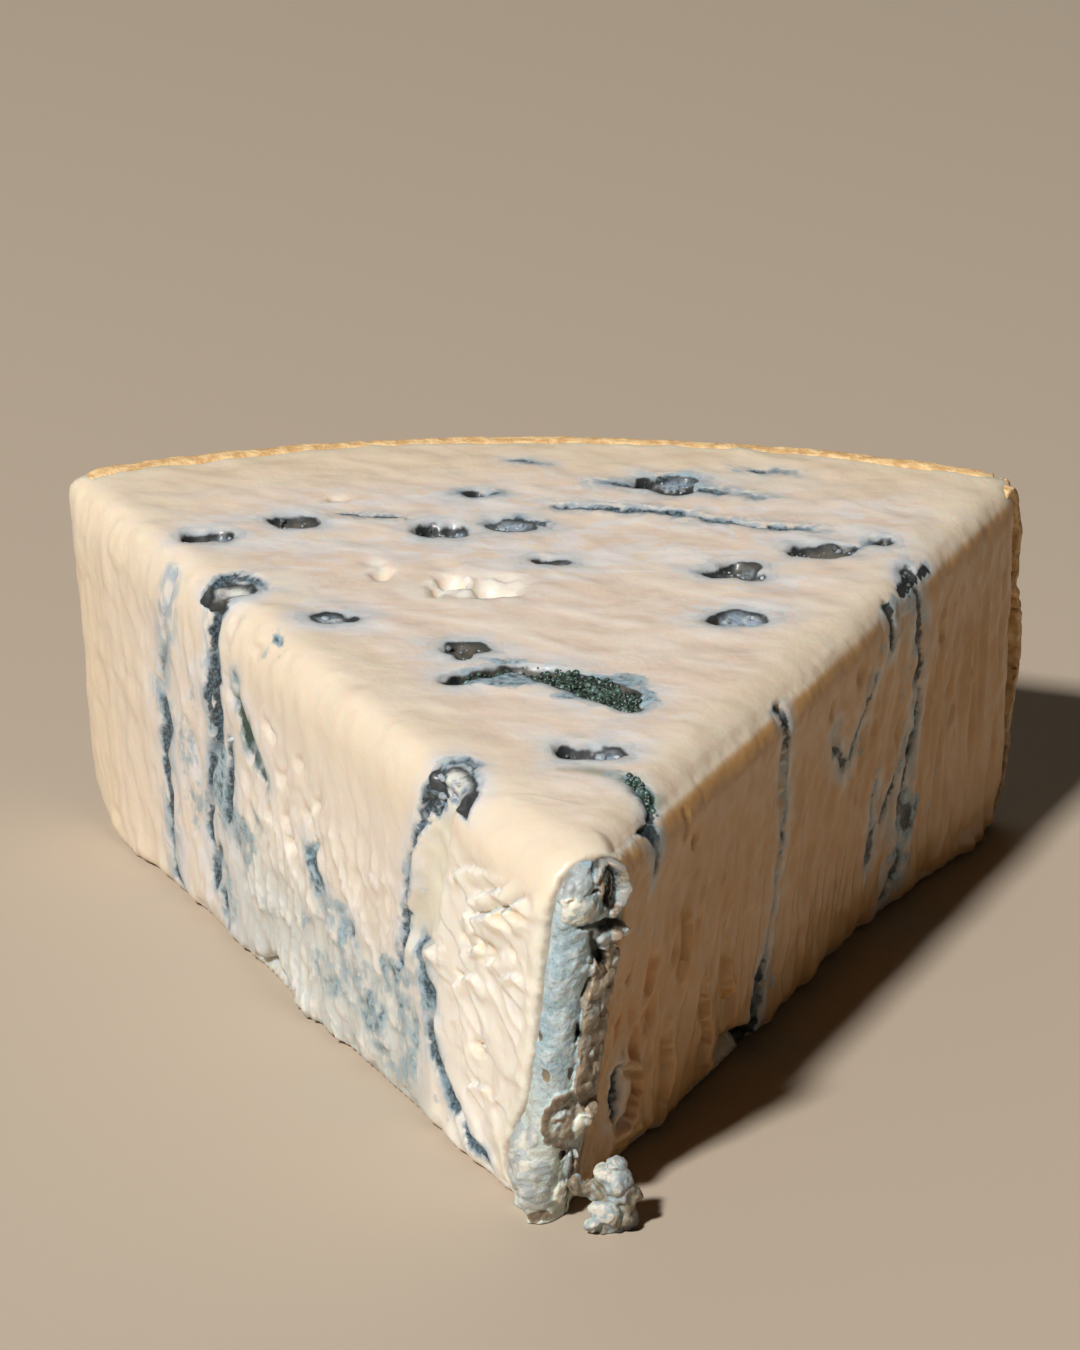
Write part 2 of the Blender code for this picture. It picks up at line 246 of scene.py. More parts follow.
# %% Where the mould is
# Hollows in the top: x, y, width across, length, depth, and how pale the mould on its floor is.
TOP_HOLES = (
    (-41.2, 85.0, 3.2, 3.6, 3.0, 0.00), (-38.7, 85.3, 3.6, 3.8, 1.6, 0.75),
    (-30.2, 90.0, 6.0, 4.4, 1.7, 0.35), (-31.4, 88.6, 2.2, 1.8, 1.2, 0.80),
    (-15.0, 87.6, 3.6, 4.8, 3.2, 0.05), (-12.6, 87.5, 4.0, 4.4, 1.8, 0.75),
    (-5.8, 89.4, 6.2, 4.4, 1.1, 0.80), (-9.3, 99.4, 3.2, 2.4, 1.6, 0.00),
    (-3.0, 78.3, 2.4, 2.4, 1.6, 0.05), (-1.2, 77.7, 2.8, 2.4, 0.9, 0.60),
    (10.6, 103.7, 3.4, 3.6, 2.2, 0.00), (13.4, 101.9, 5.2, 4.0, 2.6, 0.05), (13.8, 104.4, 5.4, 3.2, 1.5, 0.70),
    (16.4, 74.8, 4.2, 3.0, 2.4, 0.05), (18.8, 76.6, 4.4, 3.8, 1.8, 0.45), (20.0, 73.8, 3.2, 3.0, 1.4, 0.85),
    (28.6, 81.9, 7.6, 4.2, 1.8, 0.45), (26.0, 81.4, 2.8, 2.8, 1.8, 0.05), (31.8, 82.2, 2.2, 2.0, 1.2, 0.60),
    (35.8, 84.6, 2.6, 2.8, 1.5, 0.05),
    (17.8, 61.2, 6.0, 4.2, 1.6, 0.80), (15.4, 60.6, 2.8, 2.8, 1.6, 0.20),
    (-26.9, 60.4, 4.6, 4.2, 0.9, 0.85), (-24.6, 60.0, 1.8, 2.2, 1.4, 0.05),
    (-12.6, 51.8, 5.4, 4.0, 1.3, 0.36), (-12.6, 49.6, 2.0, 2.4, 1.3, 0.20),
    (-2.9, 23.4, 3.2, 4.0, 2.8, 0.00), (-0.9, 23.5, 4.2, 4.2, 2.8, 0.34), (1.2, 23.6, 3.2, 3.8, 1.7, 0.80),
    (-37.2, 69.6, 4.4, 5.2, 1.3, 1.00), (-35.4, 69.4, 1.6, 3.4, 1.8, 0.96), (-14.7, 17.4, 3.8, 6.8, 1.3, 1.00),
    (37.4, 75.2, 1.8, 5.6, 2.2, 0.00), (39.9, 74.0, 0.9, 6.0, 0.8, 0.15),
)
TOP_SLIT = ((-14.2, 42.8, 1.4), (-12.4, 44.2, 1.8), (-10.5, 45.0, 1.9), (-8.2, 46.5, 1.7), (-6.0, 46.0, 2.2), (-4.4, 45.2, 2.6))
TOP_CRACK = ((-4.8, 45.0, 3.0), (-3.4, 43.8, 4.6), (-1.2, 42.0, 5.4), (0.8, 40.2, 5.8), (2.4, 38.2, 5.4), (4.0, 35.6, 3.0))
CURD_PITS = ((-13.5, 71.5, 3.2, 4.5, 1.4), (-9.0, 68.5, 5.2, 3.6, 1.7), (-22.0, 77.0, 1.8, 1.8, 0.9), (-21.0, 73.8, 1.5, 1.6, 0.8))


# %% [markdown]
# The body is cut the way the cheesemonger cuts it: a cylinder for the wheel, a flat cut for each side,
# and a fan of small cuts that makes the nose blunt. Cutting a whole cylinder keeps the rind a true
# circle, which a modelled wedge would only come near.


# %% Cut the block
def select_nothing():
    if bpy.context.mode != "OBJECT":
        bpy.ops.object.mode_set(mode="OBJECT")
    bpy.ops.object.select_all(action="DESELECT")


def make_active(thing):
    select_nothing()
    thing.select_set(True)
    bpy.context.view_layer.objects.active = thing


def select_in(thing, kind, wanted):
    """Selects in edit mode the vertices, edges or faces of one object that a test picks."""
    bpy.ops.mesh.select_mode(type=kind)
    bpy.ops.mesh.select_all(action="DESELECT")
    bm = bmesh.from_edit_mesh(thing.data)
    bm.normal_update()
    parts = {"VERT": bm.verts, "EDGE": bm.edges, "FACE": bm.faces}[kind]
    for part in parts:
        part.select_set(bool(wanted(part)))
    bm.select_flush_mode()
    bmesh.update_edit_mesh(thing.data)
    return sum(part.select for part in parts)


def cut_off(point, outward):
    """Takes off what lies outside a plane, given in millimetres, and closes the cut."""
    bpy.ops.mesh.select_all(action="SELECT")
    bpy.ops.mesh.bisect(plane_co=Vector(point) * MM, plane_no=outward, use_fill=True, clear_outer=True)


def apply_modifier(thing, kind, **settings):
    make_active(thing)
    step = thing.modifiers.new(kind.lower(), kind)
    for name, value in settings.items():
        setattr(step, name, value)
    bpy.ops.object.modifier_apply(modifier=step.name)


BLANK_HEIGHT, FOOT_ROUNDING = 52.0, 9.0
select_nothing()
bpy.ops.mesh.primitive_cylinder_add(
    vertices=256, radius=WHEEL_RADIUS * MM, depth=BLANK_HEIGHT * MM, location=(0, 0, BLANK_HEIGHT / 2 * MM)
)
body = bpy.context.object
body.name = "cheese_body"
bpy.ops.object.transform_apply(location=True, rotation=True, scale=True)
bpy.ops.object.mode_set(mode="EDIT")
select_in(body, "EDGE", lambda edge: max(v.co.z for v in edge.verts) < 1.0e-6)
bpy.ops.mesh.bevel(offset=FOOT_ROUNDING * MM, segments=8, affect="EDGES")
cut_off((0, 0, NOSE_HEIGHT), Vector((0, -(HEEL_HEIGHT - NOSE_HEIGHT) / WHEEL_RADIUS, 1)).normalized())
cut_off(LEFT[0], LEFT[2])
cut_off(RIGHT[0], RIGHT[2])
for degrees in range(60, -49, -12):
    turn = math.radians(degrees)
    flat = Vector((-math.sin(turn), -math.cos(turn), 0))
    outward = flat * math.cos(NOSE_LEAN) - Vector((0, 0, math.sin(NOSE_LEAN)))
    cut_off(NOSE_CENTRE + outward * NOSE_RADIUS, outward)
bpy.ops.object.mode_set(mode="OBJECT")
print("block faces:", len(body.data.polygons))

# %% [markdown]
# A wire leaves a crisp edge, but soft paste slumps and rounds over at once. A Bevel with its own weight
# on each edge lets the nose's shoulder be broad while the rim by the rind stays tight.

# %% Round the edges
WIDEST_ROUNDING = 6.5


def edge_rounding(edge):
    """Rounding of one edge in millimetres, from the faces it joins and where it is."""
    if len(edge.link_faces) != 2:
        return 0.0
    one, other = (face.normal for face in edge.link_faces)
    if one.angle(other) < math.radians(30):
        return 0.0
    middle = (edge.verts[0].co + edge.verts[1].co) / 2 / MM
    if middle.z < 1.0:
        return 1.0
    on_rim = Vector((middle.x, middle.y)).length > 0.985 * WHEEL_RADIUS
    if on_rim and max(one.z, other.z) > 0.9:
        return 2.0
    if max(one.z, other.z) > 0.9 and middle.y < 12:
        return WIDEST_ROUNDING
    return 4.5 if abs(one.z) < 0.3 and abs(other.z) < 0.3 else 3.4


block = bmesh.new()
block.from_mesh(body.data)
block.normal_update()
weights = block.edges.layers.float.new("bevel_weight_edge")
for edge in block.edges:
    edge[weights] = edge_rounding(edge) / WIDEST_ROUNDING
block.to_mesh(body.data)
block.free()
apply_modifier(
    body, "BEVEL", limit_method="WEIGHT", width=WIDEST_ROUNDING * MM, segments=6, use_clamp_overlap=False
)
apply_modifier(body, "REMESH", mode="VOXEL", voxel_size=1.0 * MM)
apply_modifier(body, "SMOOTH", factor=0.5, iterations=4)


# %% [markdown]
# The needle holes go in before the fine skin, as real hollows: a dark hole needs depth to look dark
# from every side. Each cutter is a sphere that is squeezed and made lumpy, and all of them are taken
# away in one Boolean.


# %% Needle holes and cracks
def points_of(mesh):
    """All vertex places of a mesh in millimetres, and their normals."""
    places = np.empty(len(mesh.vertices) * 3)
    mesh.vertices.foreach_get("co", places)
    normals = np.empty(len(mesh.vertices) * 3)
    mesh.vertex_normals.foreach_get("vector", normals)
    return places.reshape(-1, 3) / MM, normals.reshape(-1, 3)


def move_points(mesh, places):
    mesh.vertices.foreach_set("co", (places * MM).ravel())
    mesh.update()


def lumpy_ball(name, place, reach, seed, lumps=0.16, detail=4):
    """A ball squeezed to its reach on each axis, with an uneven outline."""
    select_nothing()
    bpy.ops.mesh.primitive_ico_sphere_add(subdivisions=detail, radius=MM)
    ball = bpy.context.object
    ball.name = name
    places, _ = points_of(ball.data)
    uneven = 1 + lumps * rough(places + seed * 3.1, 0.9, seed)
    move_points(ball.data, places * uneven[:, None] * np.array(reach) + np.array(place))
    return ball


def join(name, pieces):
    select_nothing()
    for piece in pieces:
        piece.select_set(True)
    bpy.context.view_layer.objects.active = pieces[0]
    bpy.ops.object.join()
    joined = bpy.context.object
    joined.name = joined.data.name = name
    return joined


def along_route(route, spacing):
    """Points about `spacing` apart along a smooth curve through the route's stations."""
    stations = np.array(route, float)
    ends = np.vstack([2 * stations[0] - stations[1], stations, 2 * stations[-1] - stations[-2]])
    found = []
    for before, start, end, after in zip(ends, ends[1:], ends[2:], ends[3:]):
        steps = max(2, int(np.linalg.norm((end - start)[:2]) / spacing))
        for t in np.arange(steps) / steps:
            curve = 2 * start + (end - before) * t
            curve += (2 * before - 5 * start + 4 * end - after) * t**2
            found.append((curve + (3 * start - before - 3 * end + after) * t**3) / 2)
    return np.array(found + [stations[-1]])


def on_face(face, out, height):
    """A point of a cut face, from its distance from the nose and its height."""
    start, along, outward = face
    up = Vector((outward.x, outward.y, 0)).normalized() * abs(outward.z)
    up.z = math.hypot(outward.x, outward.y)
    return start + along * out + up * ((height - NOSE_HEIGHT) / up.z)


LEFT_CHANNELS = (
    ((70.5, 43.6, 1.2), (73.0, 42.0, 1.8), (73.6, 39.0, 2.6), (73.6, 36.0, 2.9), (73.4, 33.0, 3.0), (73.6, 30.0, 2.8), (74.2, 26.5, 2.0), (75.4, 23.0, 1.0)),
    ((20.4, 41.0, 1.2), (21.4, 38.6, 1.2), (22.2, 36.4, 0.8)),
    ((15.6, 42.8, 1.0), (17.4, 41.0, 1.3), (18.8, 39.6, 1.0)),
)
RIGHT_CHANNELS = (
    ((74.6, 43.6, 1.8), (75.6, 42.0, 1.8), (76.2, 39.6, 1.0), (76.6, 37.2, 0.6)),
    ((45.6, 9.0, 0.8), (45.4, 5.0, 1.6), (45.2, 1.0, 2.4)),
)
cutters = []
for index, (x, y, width, length, depth, _) in enumerate(TOP_HOLES):
    cutters.append(lumpy_ball(f"hole_{index}", (x, y, top_height(y) + 0.2), (width / 2, length / 2, depth), index, 0.3))
for route in (TOP_SLIT, TOP_CRACK):
    for index, (x, y, width) in enumerate(along_route(route, 1.1)):
        place, reach = (x, y, top_height(y) + 0.3), (1.3, width / 2 + 0.2, 1.9)
        cutters.append(lumpy_ball(f"crack_{index}", place, reach, 40 + index, 0.35, 3))
for index, (x, y, width, length, depth) in enumerate(CURD_PITS):
    cutters.append(lumpy_ball(f"pit_{index}", (x, y, top_height(y) + 0.2), (width / 2, length / 2, depth), 80 + index, 0.3))
for face, routes in ((LEFT, LEFT_CHANNELS), (RIGHT, RIGHT_CHANNELS)):
    for route in routes:
        for index, (out, z, width) in enumerate(along_route(route, 1.5)):
            place = on_face(face, out, z)
            reach = (1.1, width / 2 + 0.3, 1.6) if face is LEFT else (1.1, width / 2 + 0.3, 1.6)
            cutters.append(lumpy_ball(f"channel_{index}", place, reach, 120 + index, 0.3, 3))
hollows = join("hollows", cutters)
apply_modifier(hollows, "REMESH", mode="VOXEL", voxel_size=0.35 * MM)
apply_modifier(body, "BOOLEAN", object=hollows, operation="DIFFERENCE", solver="EXACT")
bpy.data.objects.remove(hollows)
apply_modifier(body, "REMESH", mode="VOXEL", voxel_size=FINE * MM)
apply_modifier(body, "SMOOTH", factor=0.5, iterations=1)
print("fine faces:", len(body.data.polygons))

# %% [markdown]
# The nose is seen closest, and its torn facet has the smallest flakes, so that part of the skin gets
# four faces for each one. The flat base and the heel behind the rind need few, and give theirs up.


# %% Spend the faces where they are seen
def face_frame(face, points):
    """Where points are on a cut face: distance from the nose, height, and depth below the face."""
    start, along, outward = (np.array(vector) for vector in face)
    return (points - start) @ along, points[:, 2], (start - points) @ outward


make_active(body)
bpy.ops.object.mode_set(mode="EDIT")
left_start, left_along = LEFT[0], LEFT[1]
right_start, right_along = RIGHT[0], RIGHT[1]


def on_nose(part):
    middle = part.calc_center_median() / MM
    if middle.z < 0.6 or middle.z > 42:
        return False
    return (middle - left_start).dot(left_along) < 23 and (middle - right_start).dot(right_along) < 9


picked = select_in(body, "FACE", on_nose)
bpy.ops.mesh.subdivide(number_cuts=1, smoothness=0)
print("nose faces made finer:", picked)
bpy.ops.object.mode_set(mode="OBJECT")

# %% [markdown]
# Lines of mould run down both cuts where the wire passed along a needle hole. Each is a winding band
# with its stops given as distance from the nose, height and width.

# %% Lines on the cut faces
# (stops, groove depth, how far the blue spreads)
LEFT_LINES = (
    (((84.8, 43.5, 0.3, 0.1), (85.5, 38.0, 0.6, 0.1), (87.5, 31.0, 0.8, 0.3), (89.6, 25.6, 1.1, 0.6), (88.3, 21.0, 1.5, 0.7), (89.6, 17.8, 1.6, 0.9), (89.5, 14.3, 1.8, 1.0), (89.3, 11.2, 1.1, 0.8), (89.5, 7.9, 1.0, 0.8), (89.6, 5.0, 0.7, 0.6), (89.3, 1.0, 0.8, 0.9)), 0.7, 3.6),
    (((73.0, 43.4, 1.4), (73.7, 40.8, 2.0), (74.0, 37.6, 2.2), (74.1, 34.0, 2.2), (74.2, 30.6, 2.2), (74.8, 26.0, 1.8), (76.0, 21.9, 1.6, 0.9), (77.3, 17.0, 1.7), (78.1, 12.4, 1.7), (78.3, 10.2, 0.8)), 0.9, 2.4),
    (((72.9, 38.6, 0.8), (72.8, 35.6, 1.6), (72.5, 32.2, 2.0), (72.8, 28.6, 2.0), (73.2, 26.2, 1.4), (74.0, 23.8, 0.9)), 1.8, 0.8),
    (((70.4, 26.0, 0.7, 0.7), (70.8, 23.4, 0.9, 0.8), (71.5, 20.0, 1.3, 0.9), (72.2, 16.4, 1.4, 0.9), (73.0, 14.5, 0.5, 0.4)), 0.9, 2.6),
    (((75.7, 11.0, 0.8, 0.7), (77.3, 9.2, 1.5), (77.7, 6.6, 1.1), (77.9, 5.2, 0.4, 0.6)), 0.8, 1.8),
    (((75.5, 5.4, 0.7), (75.1, 3.8, 1.1), (74.7, 2.2, 0.9)), 0.9, 1.4),
    (((67.4, 34.2, 0.6, 0.6), (67.0, 32.0, 1.4, 0.8), (66.0, 29.8, 2.4), (64.4, 27.8, 2.9), (62.6, 26.2, 2.0, 0.9), (60.8, 24.6, 0.7, 0.6)), 0.8, 1.9),
    (((20.2, 38.0, 0.8, 0.9), (21.7, 36.6, 1.0), (23.1, 34.2, 0.9, 1.0), (25.0, 29.5, 0.8, 0.9), (26.2, 26.0, 0.9, 1.0), (26.9, 23.0, 0.9), (27.6, 19.5, 0.8, 0.9), (28.0, 16.5, 0.6, 0.7)), 1.2, 0.9),
    (((23.6, 20.4, 1.2, 0.6), (22.4, 18.4, 1.6, 0.6), (21.6, 15.6, 1.5, 0.7), (21.4, 12.4, 1.5, 0.6), (20.8, 9.8, 1.6, 0.7), (19.2, 7.6, 1.6, 0.7), (16.6, 5.2, 1.5, 0.7), (13.4, 3.4, 1.5, 0.7), (10.0, 2.4, 1.2, 0.7)), 0.8, 1.8),
    (((49.8, 21.4, 0.6, 0.6), (48.5, 20.0, 1.5, 0.8), (47.0, 18.4, 0.6, 0.5), (45.4, 17.0, 0.3, 0.3)), 0.4, 1.8),
    (((41.4, 16.4, 0.4, 0.5), (39.8, 15.6, 0.9, 0.7), (38.9, 14.4, 0.5, 0.6)), 0.4, 1.2),
)
RIGHT_LINES = (
    (((7.6, 41.6, 2.0, 1.0), (8.6, 40.6, 2.4), (9.6, 39.0, 2.0), (10.0, 37.0, 1.5, 0.9), (10.4, 34.6, 0.9, 0.5)), 0.6, 2.6),
    (((8.2, 12.4, 1.5), (8.7, 10.4, 3.0), (9.3, 8.2, 2.2), (9.8, 6.4, 1.0)), 2.4, 0.5),
    (((44.2, 42.4, 0.8, 0.7), (44.4, 40.6, 1.6), (44.7, 38.2, 1.2), (45.2, 35.0, 0.9, 0.9), (45.7, 32.2, 1.4), (46.3, 28.0, 1.0), (46.6, 25.0, 1.3), (47.2, 22.0, 0.8, 0.8), (47.3, 19.6, 1.2), (47.4, 16.0, 0.8, 0.8), (46.6, 13.4, 1.2, 1.0), (46.2, 10.0, 1.6), (45.8, 6.6, 2.2), (45.6, 3.0, 2.8)), 1.1, 2.0),
    (((75.0, 43.6, 2.0), (75.6, 41.0, 2.2), (76.2, 38.2, 1.0), (76.6, 35.8, 0.6, 0.7)), 1.0, 2.4),
    (((81.6, 44.0, 1.1), (83.2, 41.0, 1.2), (84.4, 38.0, 0.9, 0.9), (85.6, 34.6, 2.0), (86.6, 31.0, 1.2), (87.2, 27.0, 0.5, 0.7), (87.4, 23.4, 1.2), (86.8, 19.6, 1.0), (86.0, 16.2, 1.2), (85.2, 13.0, 1.8), (84.9, 10.6, 1.0, 0.9)), 0.9, 3.0),
    (((86.6, 12.8, 0.6), (87.6, 11.2, 1.6), (87.9, 9.6, 0.8, 0.7)), 0.6, 2.2),
    (((86.6, 7.0, 1.1), (85.8, 5.2, 2.1), (84.4, 5.4, 1.5), (83.0, 2.4, 1.0, 0.9)), 0.8, 2.4),
    (((83.0, 18.4, 0.5), (82.2, 16.6, 1.2), (81.3, 14.6, 1.0), (80.6, 13.0, 0.5, 0.7)), 0.6, 1.8),
    (((77.2, 19.6, 0.5, 0.6), (76.8, 17.4, 1.2, 1.0), (76.6, 15.8, 0.6, 0.7)), 0.5, 1.6),
    (((77.6, 12.8, 0.8), (77.8, 11.0, 1.8), (77.6, 9.4, 0.8, 0.8)), 0.6, 2.0),
    (((72.4, 33.4, 0.5, 0.6), (70.6, 30.8, 0.9, 0.8), (68.6, 28.6, 0.8, 0.9), (67.0, 26.4, 1.1), (66.4, 25.2, 0.5)), 0.5, 1.6),
    (((60.4, 31.4, 1.0, 0.7), (61.2, 29.4, 0.8, 0.6), (62.6, 27.6, 1.1, 1.0), (64.0, 26.4, 1.6), (65.2, 26.6, 0.5, 0.7)), 0.5, 1.8),
)
TOP_LINES = (
    (((-0.9, 95.3, 0.5, 0.6), (3.4, 95.0, 1.0), (6.4, 94.3, 1.2), (10.4, 94.0, 1.0), (13.6, 92.9, 1.2), (16.0, 92.2, 0.9), (19.0, 90.2, 1.0), (22.0, 89.2, 1.2), (24.4, 88.9, 0.9), (28.4, 88.0, 0.5, 0.5)), 0.9, 3.0),
    (((-25.0, 92.6, 0.2), (-22.0, 92.2, 0.7), (-18.0, 91.0, 0.4)), 0.4, 2.0),
    (((4.6, 103.4, 0.3, 0.3), (8.0, 102.8, 0.7), (9.8, 103.0, 1.4), (12.5, 105.4, 1.2), (15.4, 105.2, 0.7)), 0.5, 3.4),
    (((15.2, 101.6, 1.0), (17.4, 100.9, 1.0), (19.0, 99.8, 0.8, 0.8), (21.0, 99.4, 0.5, 0.6), (23.4, 98.4, 0.4, 0.4)), 0.4, 2.8),
    (((30.4, 81.9, 0.3), (33.6, 83.6, 0.4), (36.0, 84.6, 0.6)), 0.3, 1.2),
    (((2.6, 16.6, 0.9, 0.7), (3.8, 14.8, 1.5, 0.9), (4.8, 12.6, 1.7), (5.2, 10.4, 1.6)), 0.6, 2.0),
    (((-10.8, 99.6, 0.6), (-8.6, 99.2, 1.0), (-6.8, 99.8, 0.4, 0.5)), 0.3, 2.4),
    (((-9.2, 89.8, 0.3, 0.4), (-7.4, 90.2, 0.5, 0.6), (-5.0, 91.4, 0.6), (-2.8, 90.2, 0.9), (-1.6, 88.9, 0.6)), 0.3, 1.6),
    (((21.8, 107.9, 0.5, 0.7), (23.4, 107.4, 1.3, 0.8), (26.0, 107.4, 1.0, 0.4), (28.6, 107.2, 0.4, 0.3)), 0.3, 1.8),
    (((-39.5, 64.0, 0.7), (-39.7, 68.6, 0.7), (-39.2, 71.4, 0.9), (-38.0, 72.9, 1.1), (-36.6, 73.2, 1.0), (-35.2, 72.4, 0.7), (-34.0, 70.6, 0.5), (-33.6, 69.0, 0.4, 0.7)), 0.7, 1.0),
    (((-18.2, 13.0, 0.4, 0.6), (-17.9, 15.2, 0.5, 0.6), (-17.3, 17.2, 0.4, 0.5)), 0.4, 0.5),
    (((-16.4, 19.4, 0.4), (-15.6, 20.9, 0.6), (-14.4, 21.6, 0.7), (-13.3, 21.2, 0.6), (-12.8, 19.8, 0.5), (-13.0, 17.6, 0.5), (-13.5, 15.0, 0.5), (-14.2, 12.4, 0.5), (-15.0, 9.8, 0.5), (-15.8, 7.2, 0.4, 0.8)), 0.5, 0.9),
    (((-17.0, 13.6, 0.7), (-16.4, 15.6, 1.0), (-15.7, 17.6, 0.8)), 1.2, 0.3),
    (((-5.0, 110.2, 0.4), (-3.0, 110.0, 1.0), (-1.0, 109.6, 0.4)), 0.2, 1.6),
)
# Blue patches: place, width, length, strength.
LEFT_PATCHES = (
    (82.5, 18.0, 7.0, 15.0, 0.55), (68.0, 15.0, 7.0, 7.0, 0.90), (63.0, 9.5, 10.0, 3.2, 0.45), (64.5, 19.0, 3.0, 8.0, 0.55),
    (49.0, 18.6, 3.4, 4.0, 1.10), (46.0, 15.2, 5.0, 4.0, 0.70), (41.4, 15.0, 3.6, 4.4, 1.00), (43.5, 12.0, 6.0, 5.0, 0.60),
    (51.6, 11.6, 3.4, 3.4, 0.60), (38.0, 9.4, 16.0, 9.0, 0.60), (31.0, 14.6, 4.4, 5.4, 0.90), (34.0, 8.6, 6.0, 5.0, 0.90),
    (46.0, 8.0, 9.0, 5.5, 0.65), (27.0, 9.0, 6.5, 11.0, 0.75), (55.6, 43.6, 1.4, 3.2, 1.60), (57.4, 41.2, 1.0, 2.2, 1.20),
    (60.6, 39.6, 1.2, 1.0, 0.90), (30.0, 4.0, 11.0, 5.5, 0.55), (75.0, 6.0, 7.0, 8.0, 0.60), (73.9, 20.5, 4.4, 14.0, 1.25),
    (20.5, 20.4, 6.0, 2.4, 0.45), (26.0, 16.5, 5.0, 4.0, 0.75), (56.0, 14.5, 4.0, 3.0, 0.55), (86.0, 33.0, 2.4, 8.0, 0.50),
    (80.0, 28.0, 3.0, 9.0, 0.35), (24.0, 27.0, 1.8, 7.0, 0.35), (19.0, 3.6, 7.0, 3.0, 0.40), (67.4, 16.4, 2.6, 3.4, 1.20),
    (48.6, 20.4, 3.0, 4.0, 1.30), (44.0, 17.0, 9.0, 2.6, 0.75), (36.0, 7.6, 6.0, 4.4, 1.20), (29.4, 14.6, 3.0, 4.6, 1.20),
    (22.2, 16.0, 3.4, 7.0, 1.05), (33.0, 4.6, 6.0, 3.0, 0.80), (47.6, 13.9, 2.4, 1.6, 1.00), (24.4, 11.0, 3.0, 6.0, 0.85),
)


# The same on the top: place, width, length, strength.
TOP_PATCHES = (
    (-7.4, 43.0, 8.0, 4.4, 1.25), (-12.0, 43.6, 6.0, 4.4, 1.10), (2.4, 42.6, 8.0, 5.0, 1.20), (5.4, 37.6, 3.0, 6.4, 1.10),
    (-1.6, 38.4, 5.4, 3.0, 0.90), (-8.6, 48.0, 6.0, 2.4, 1.00), (-32.4, 55.2, 1.4, 4.0, 1.60), (-26.6, 60.2, 6.4, 5.4, 0.60),
    (2.2, 17.6, 4.4, 3.0, 0.50), (14.6, 103.4, 9.0, 6.0, 0.50), (25.0, 98.6, 6.0, 2.4, 0.30),
)
RIGHT_PATCHES = (
    (76.0, 38.5, 9.0, 9.0, 0.55), (83.0, 36.0, 5.0, 12.0, 0.45), (67.5, 25.6, 8.0, 6.0, 0.55), (86.5, 20.0, 8.0, 14.0, 0.50),
    (87.0, 9.0, 7.0, 14.0, 0.80), (77.0, 15.5, 5.0, 12.0, 0.55), (94.0, 14.0, 4.0, 10.0, 0.40), (47.5, 6.0, 6.0, 12.0, 0.55),
    (45.0, 34.0, 3.0, 10.0, 0.45), (10.0, 36.0, 4.0, 9.0, 0.55), (59.0, 31.0, 3.0, 3.0, 0.55), (19.6, 34.1, 1.2, 1.2, 0.9),
    (8.6, 29.0, 1.0, 1.0, 0.9), (81.0, 28.0, 3.0, 9.0, 0.40),
)


def from_route(flat, stops):
    """Distance from points on a face to the edge of a winding band, negative inside it."""
    return inked_route(flat, stops)[0]


def inked_route(flat, stops):
    """The distance as above, and how dark the band is there, which a stop may give as a fourth number."""
    nearest = np.full(len(flat), 99.0)
    darkness = np.ones(len(flat))
    stops = np.array([(*stop, 1.0)[:4] for stop in stops])
    for start, end in zip(stops, stops[1:]):
        run = end[:2] - start[:2]
        share = np.clip((flat - start[:2]) @ run / (run @ run), 0, 1)
        gap = np.linalg.norm(flat - start[:2] - share[:, None] * run, axis=1)
        gap -= (start[2] + (end[2] - start[2]) * share) / 2
        darkness = np.where(gap < nearest, start[3] + (end[3] - start[3]) * share, darkness)
        nearest = np.minimum(nearest, gap)
    return nearest, darkness


def from_spot(flat, x, y, width, length):
    """Distance from points on a face to the edge of an oval, about right near that edge."""
    across = np.hypot((flat[:, 0] - x) / (width / 2), (flat[:, 1] - y) / (length / 2))
    return (across - 1) * math.sqrt(width * length) / 2


# %% [markdown]
# The fine relief is worked out for each point of the skin from where it lies: the wire smeared the top
# in long soft strokes, it dragged the left cut downward, and the nose broke off in flakes.

# %% Where each point of the skin lies
bare_skin = BVHTree.FromObject(body, bpy.context.evaluated_depsgraph_get())
skin, skin_normals = points_of(body.data)
wander = np.stack([rough(skin, 2.6, 11), rough(skin, 2.6, 12)], axis=1) * 0.45
left_out, height, left_depth = face_frame(LEFT, skin)
right_out, _, right_depth = face_frame(RIGHT, skin)
top_depth = top_height(skin[:, 1]) - height
left_flat = np.stack([left_out, height], axis=1) + wander
right_flat = np.stack([right_out, height], axis=1) + wander
top_flat = skin[:, :2] + wander

on_left = ease(skin_normals @ np.array(LEFT[2]), 0.35, 0.8) * (1 - ease(left_depth, 2.5, 5))
on_right = ease(skin_normals @ np.array(RIGHT[2]), 0.35, 0.8) * (1 - ease(right_depth, 2.5, 5))
on_top = ease(skin_normals[:, 2], 0.45, 0.9) * (1 - ease(top_depth, 3, 6))
radius = np.hypot(skin[:, 0], skin[:, 1])
on_rind = ease(radius, WHEEL_RADIUS - 4, WHEEL_RADIUS - 1.5)
on_base = ease(-skin_normals[:, 2], 0.6, 0.9) * (1 - ease(height, 0.5, 2))
print("points:", len(skin))

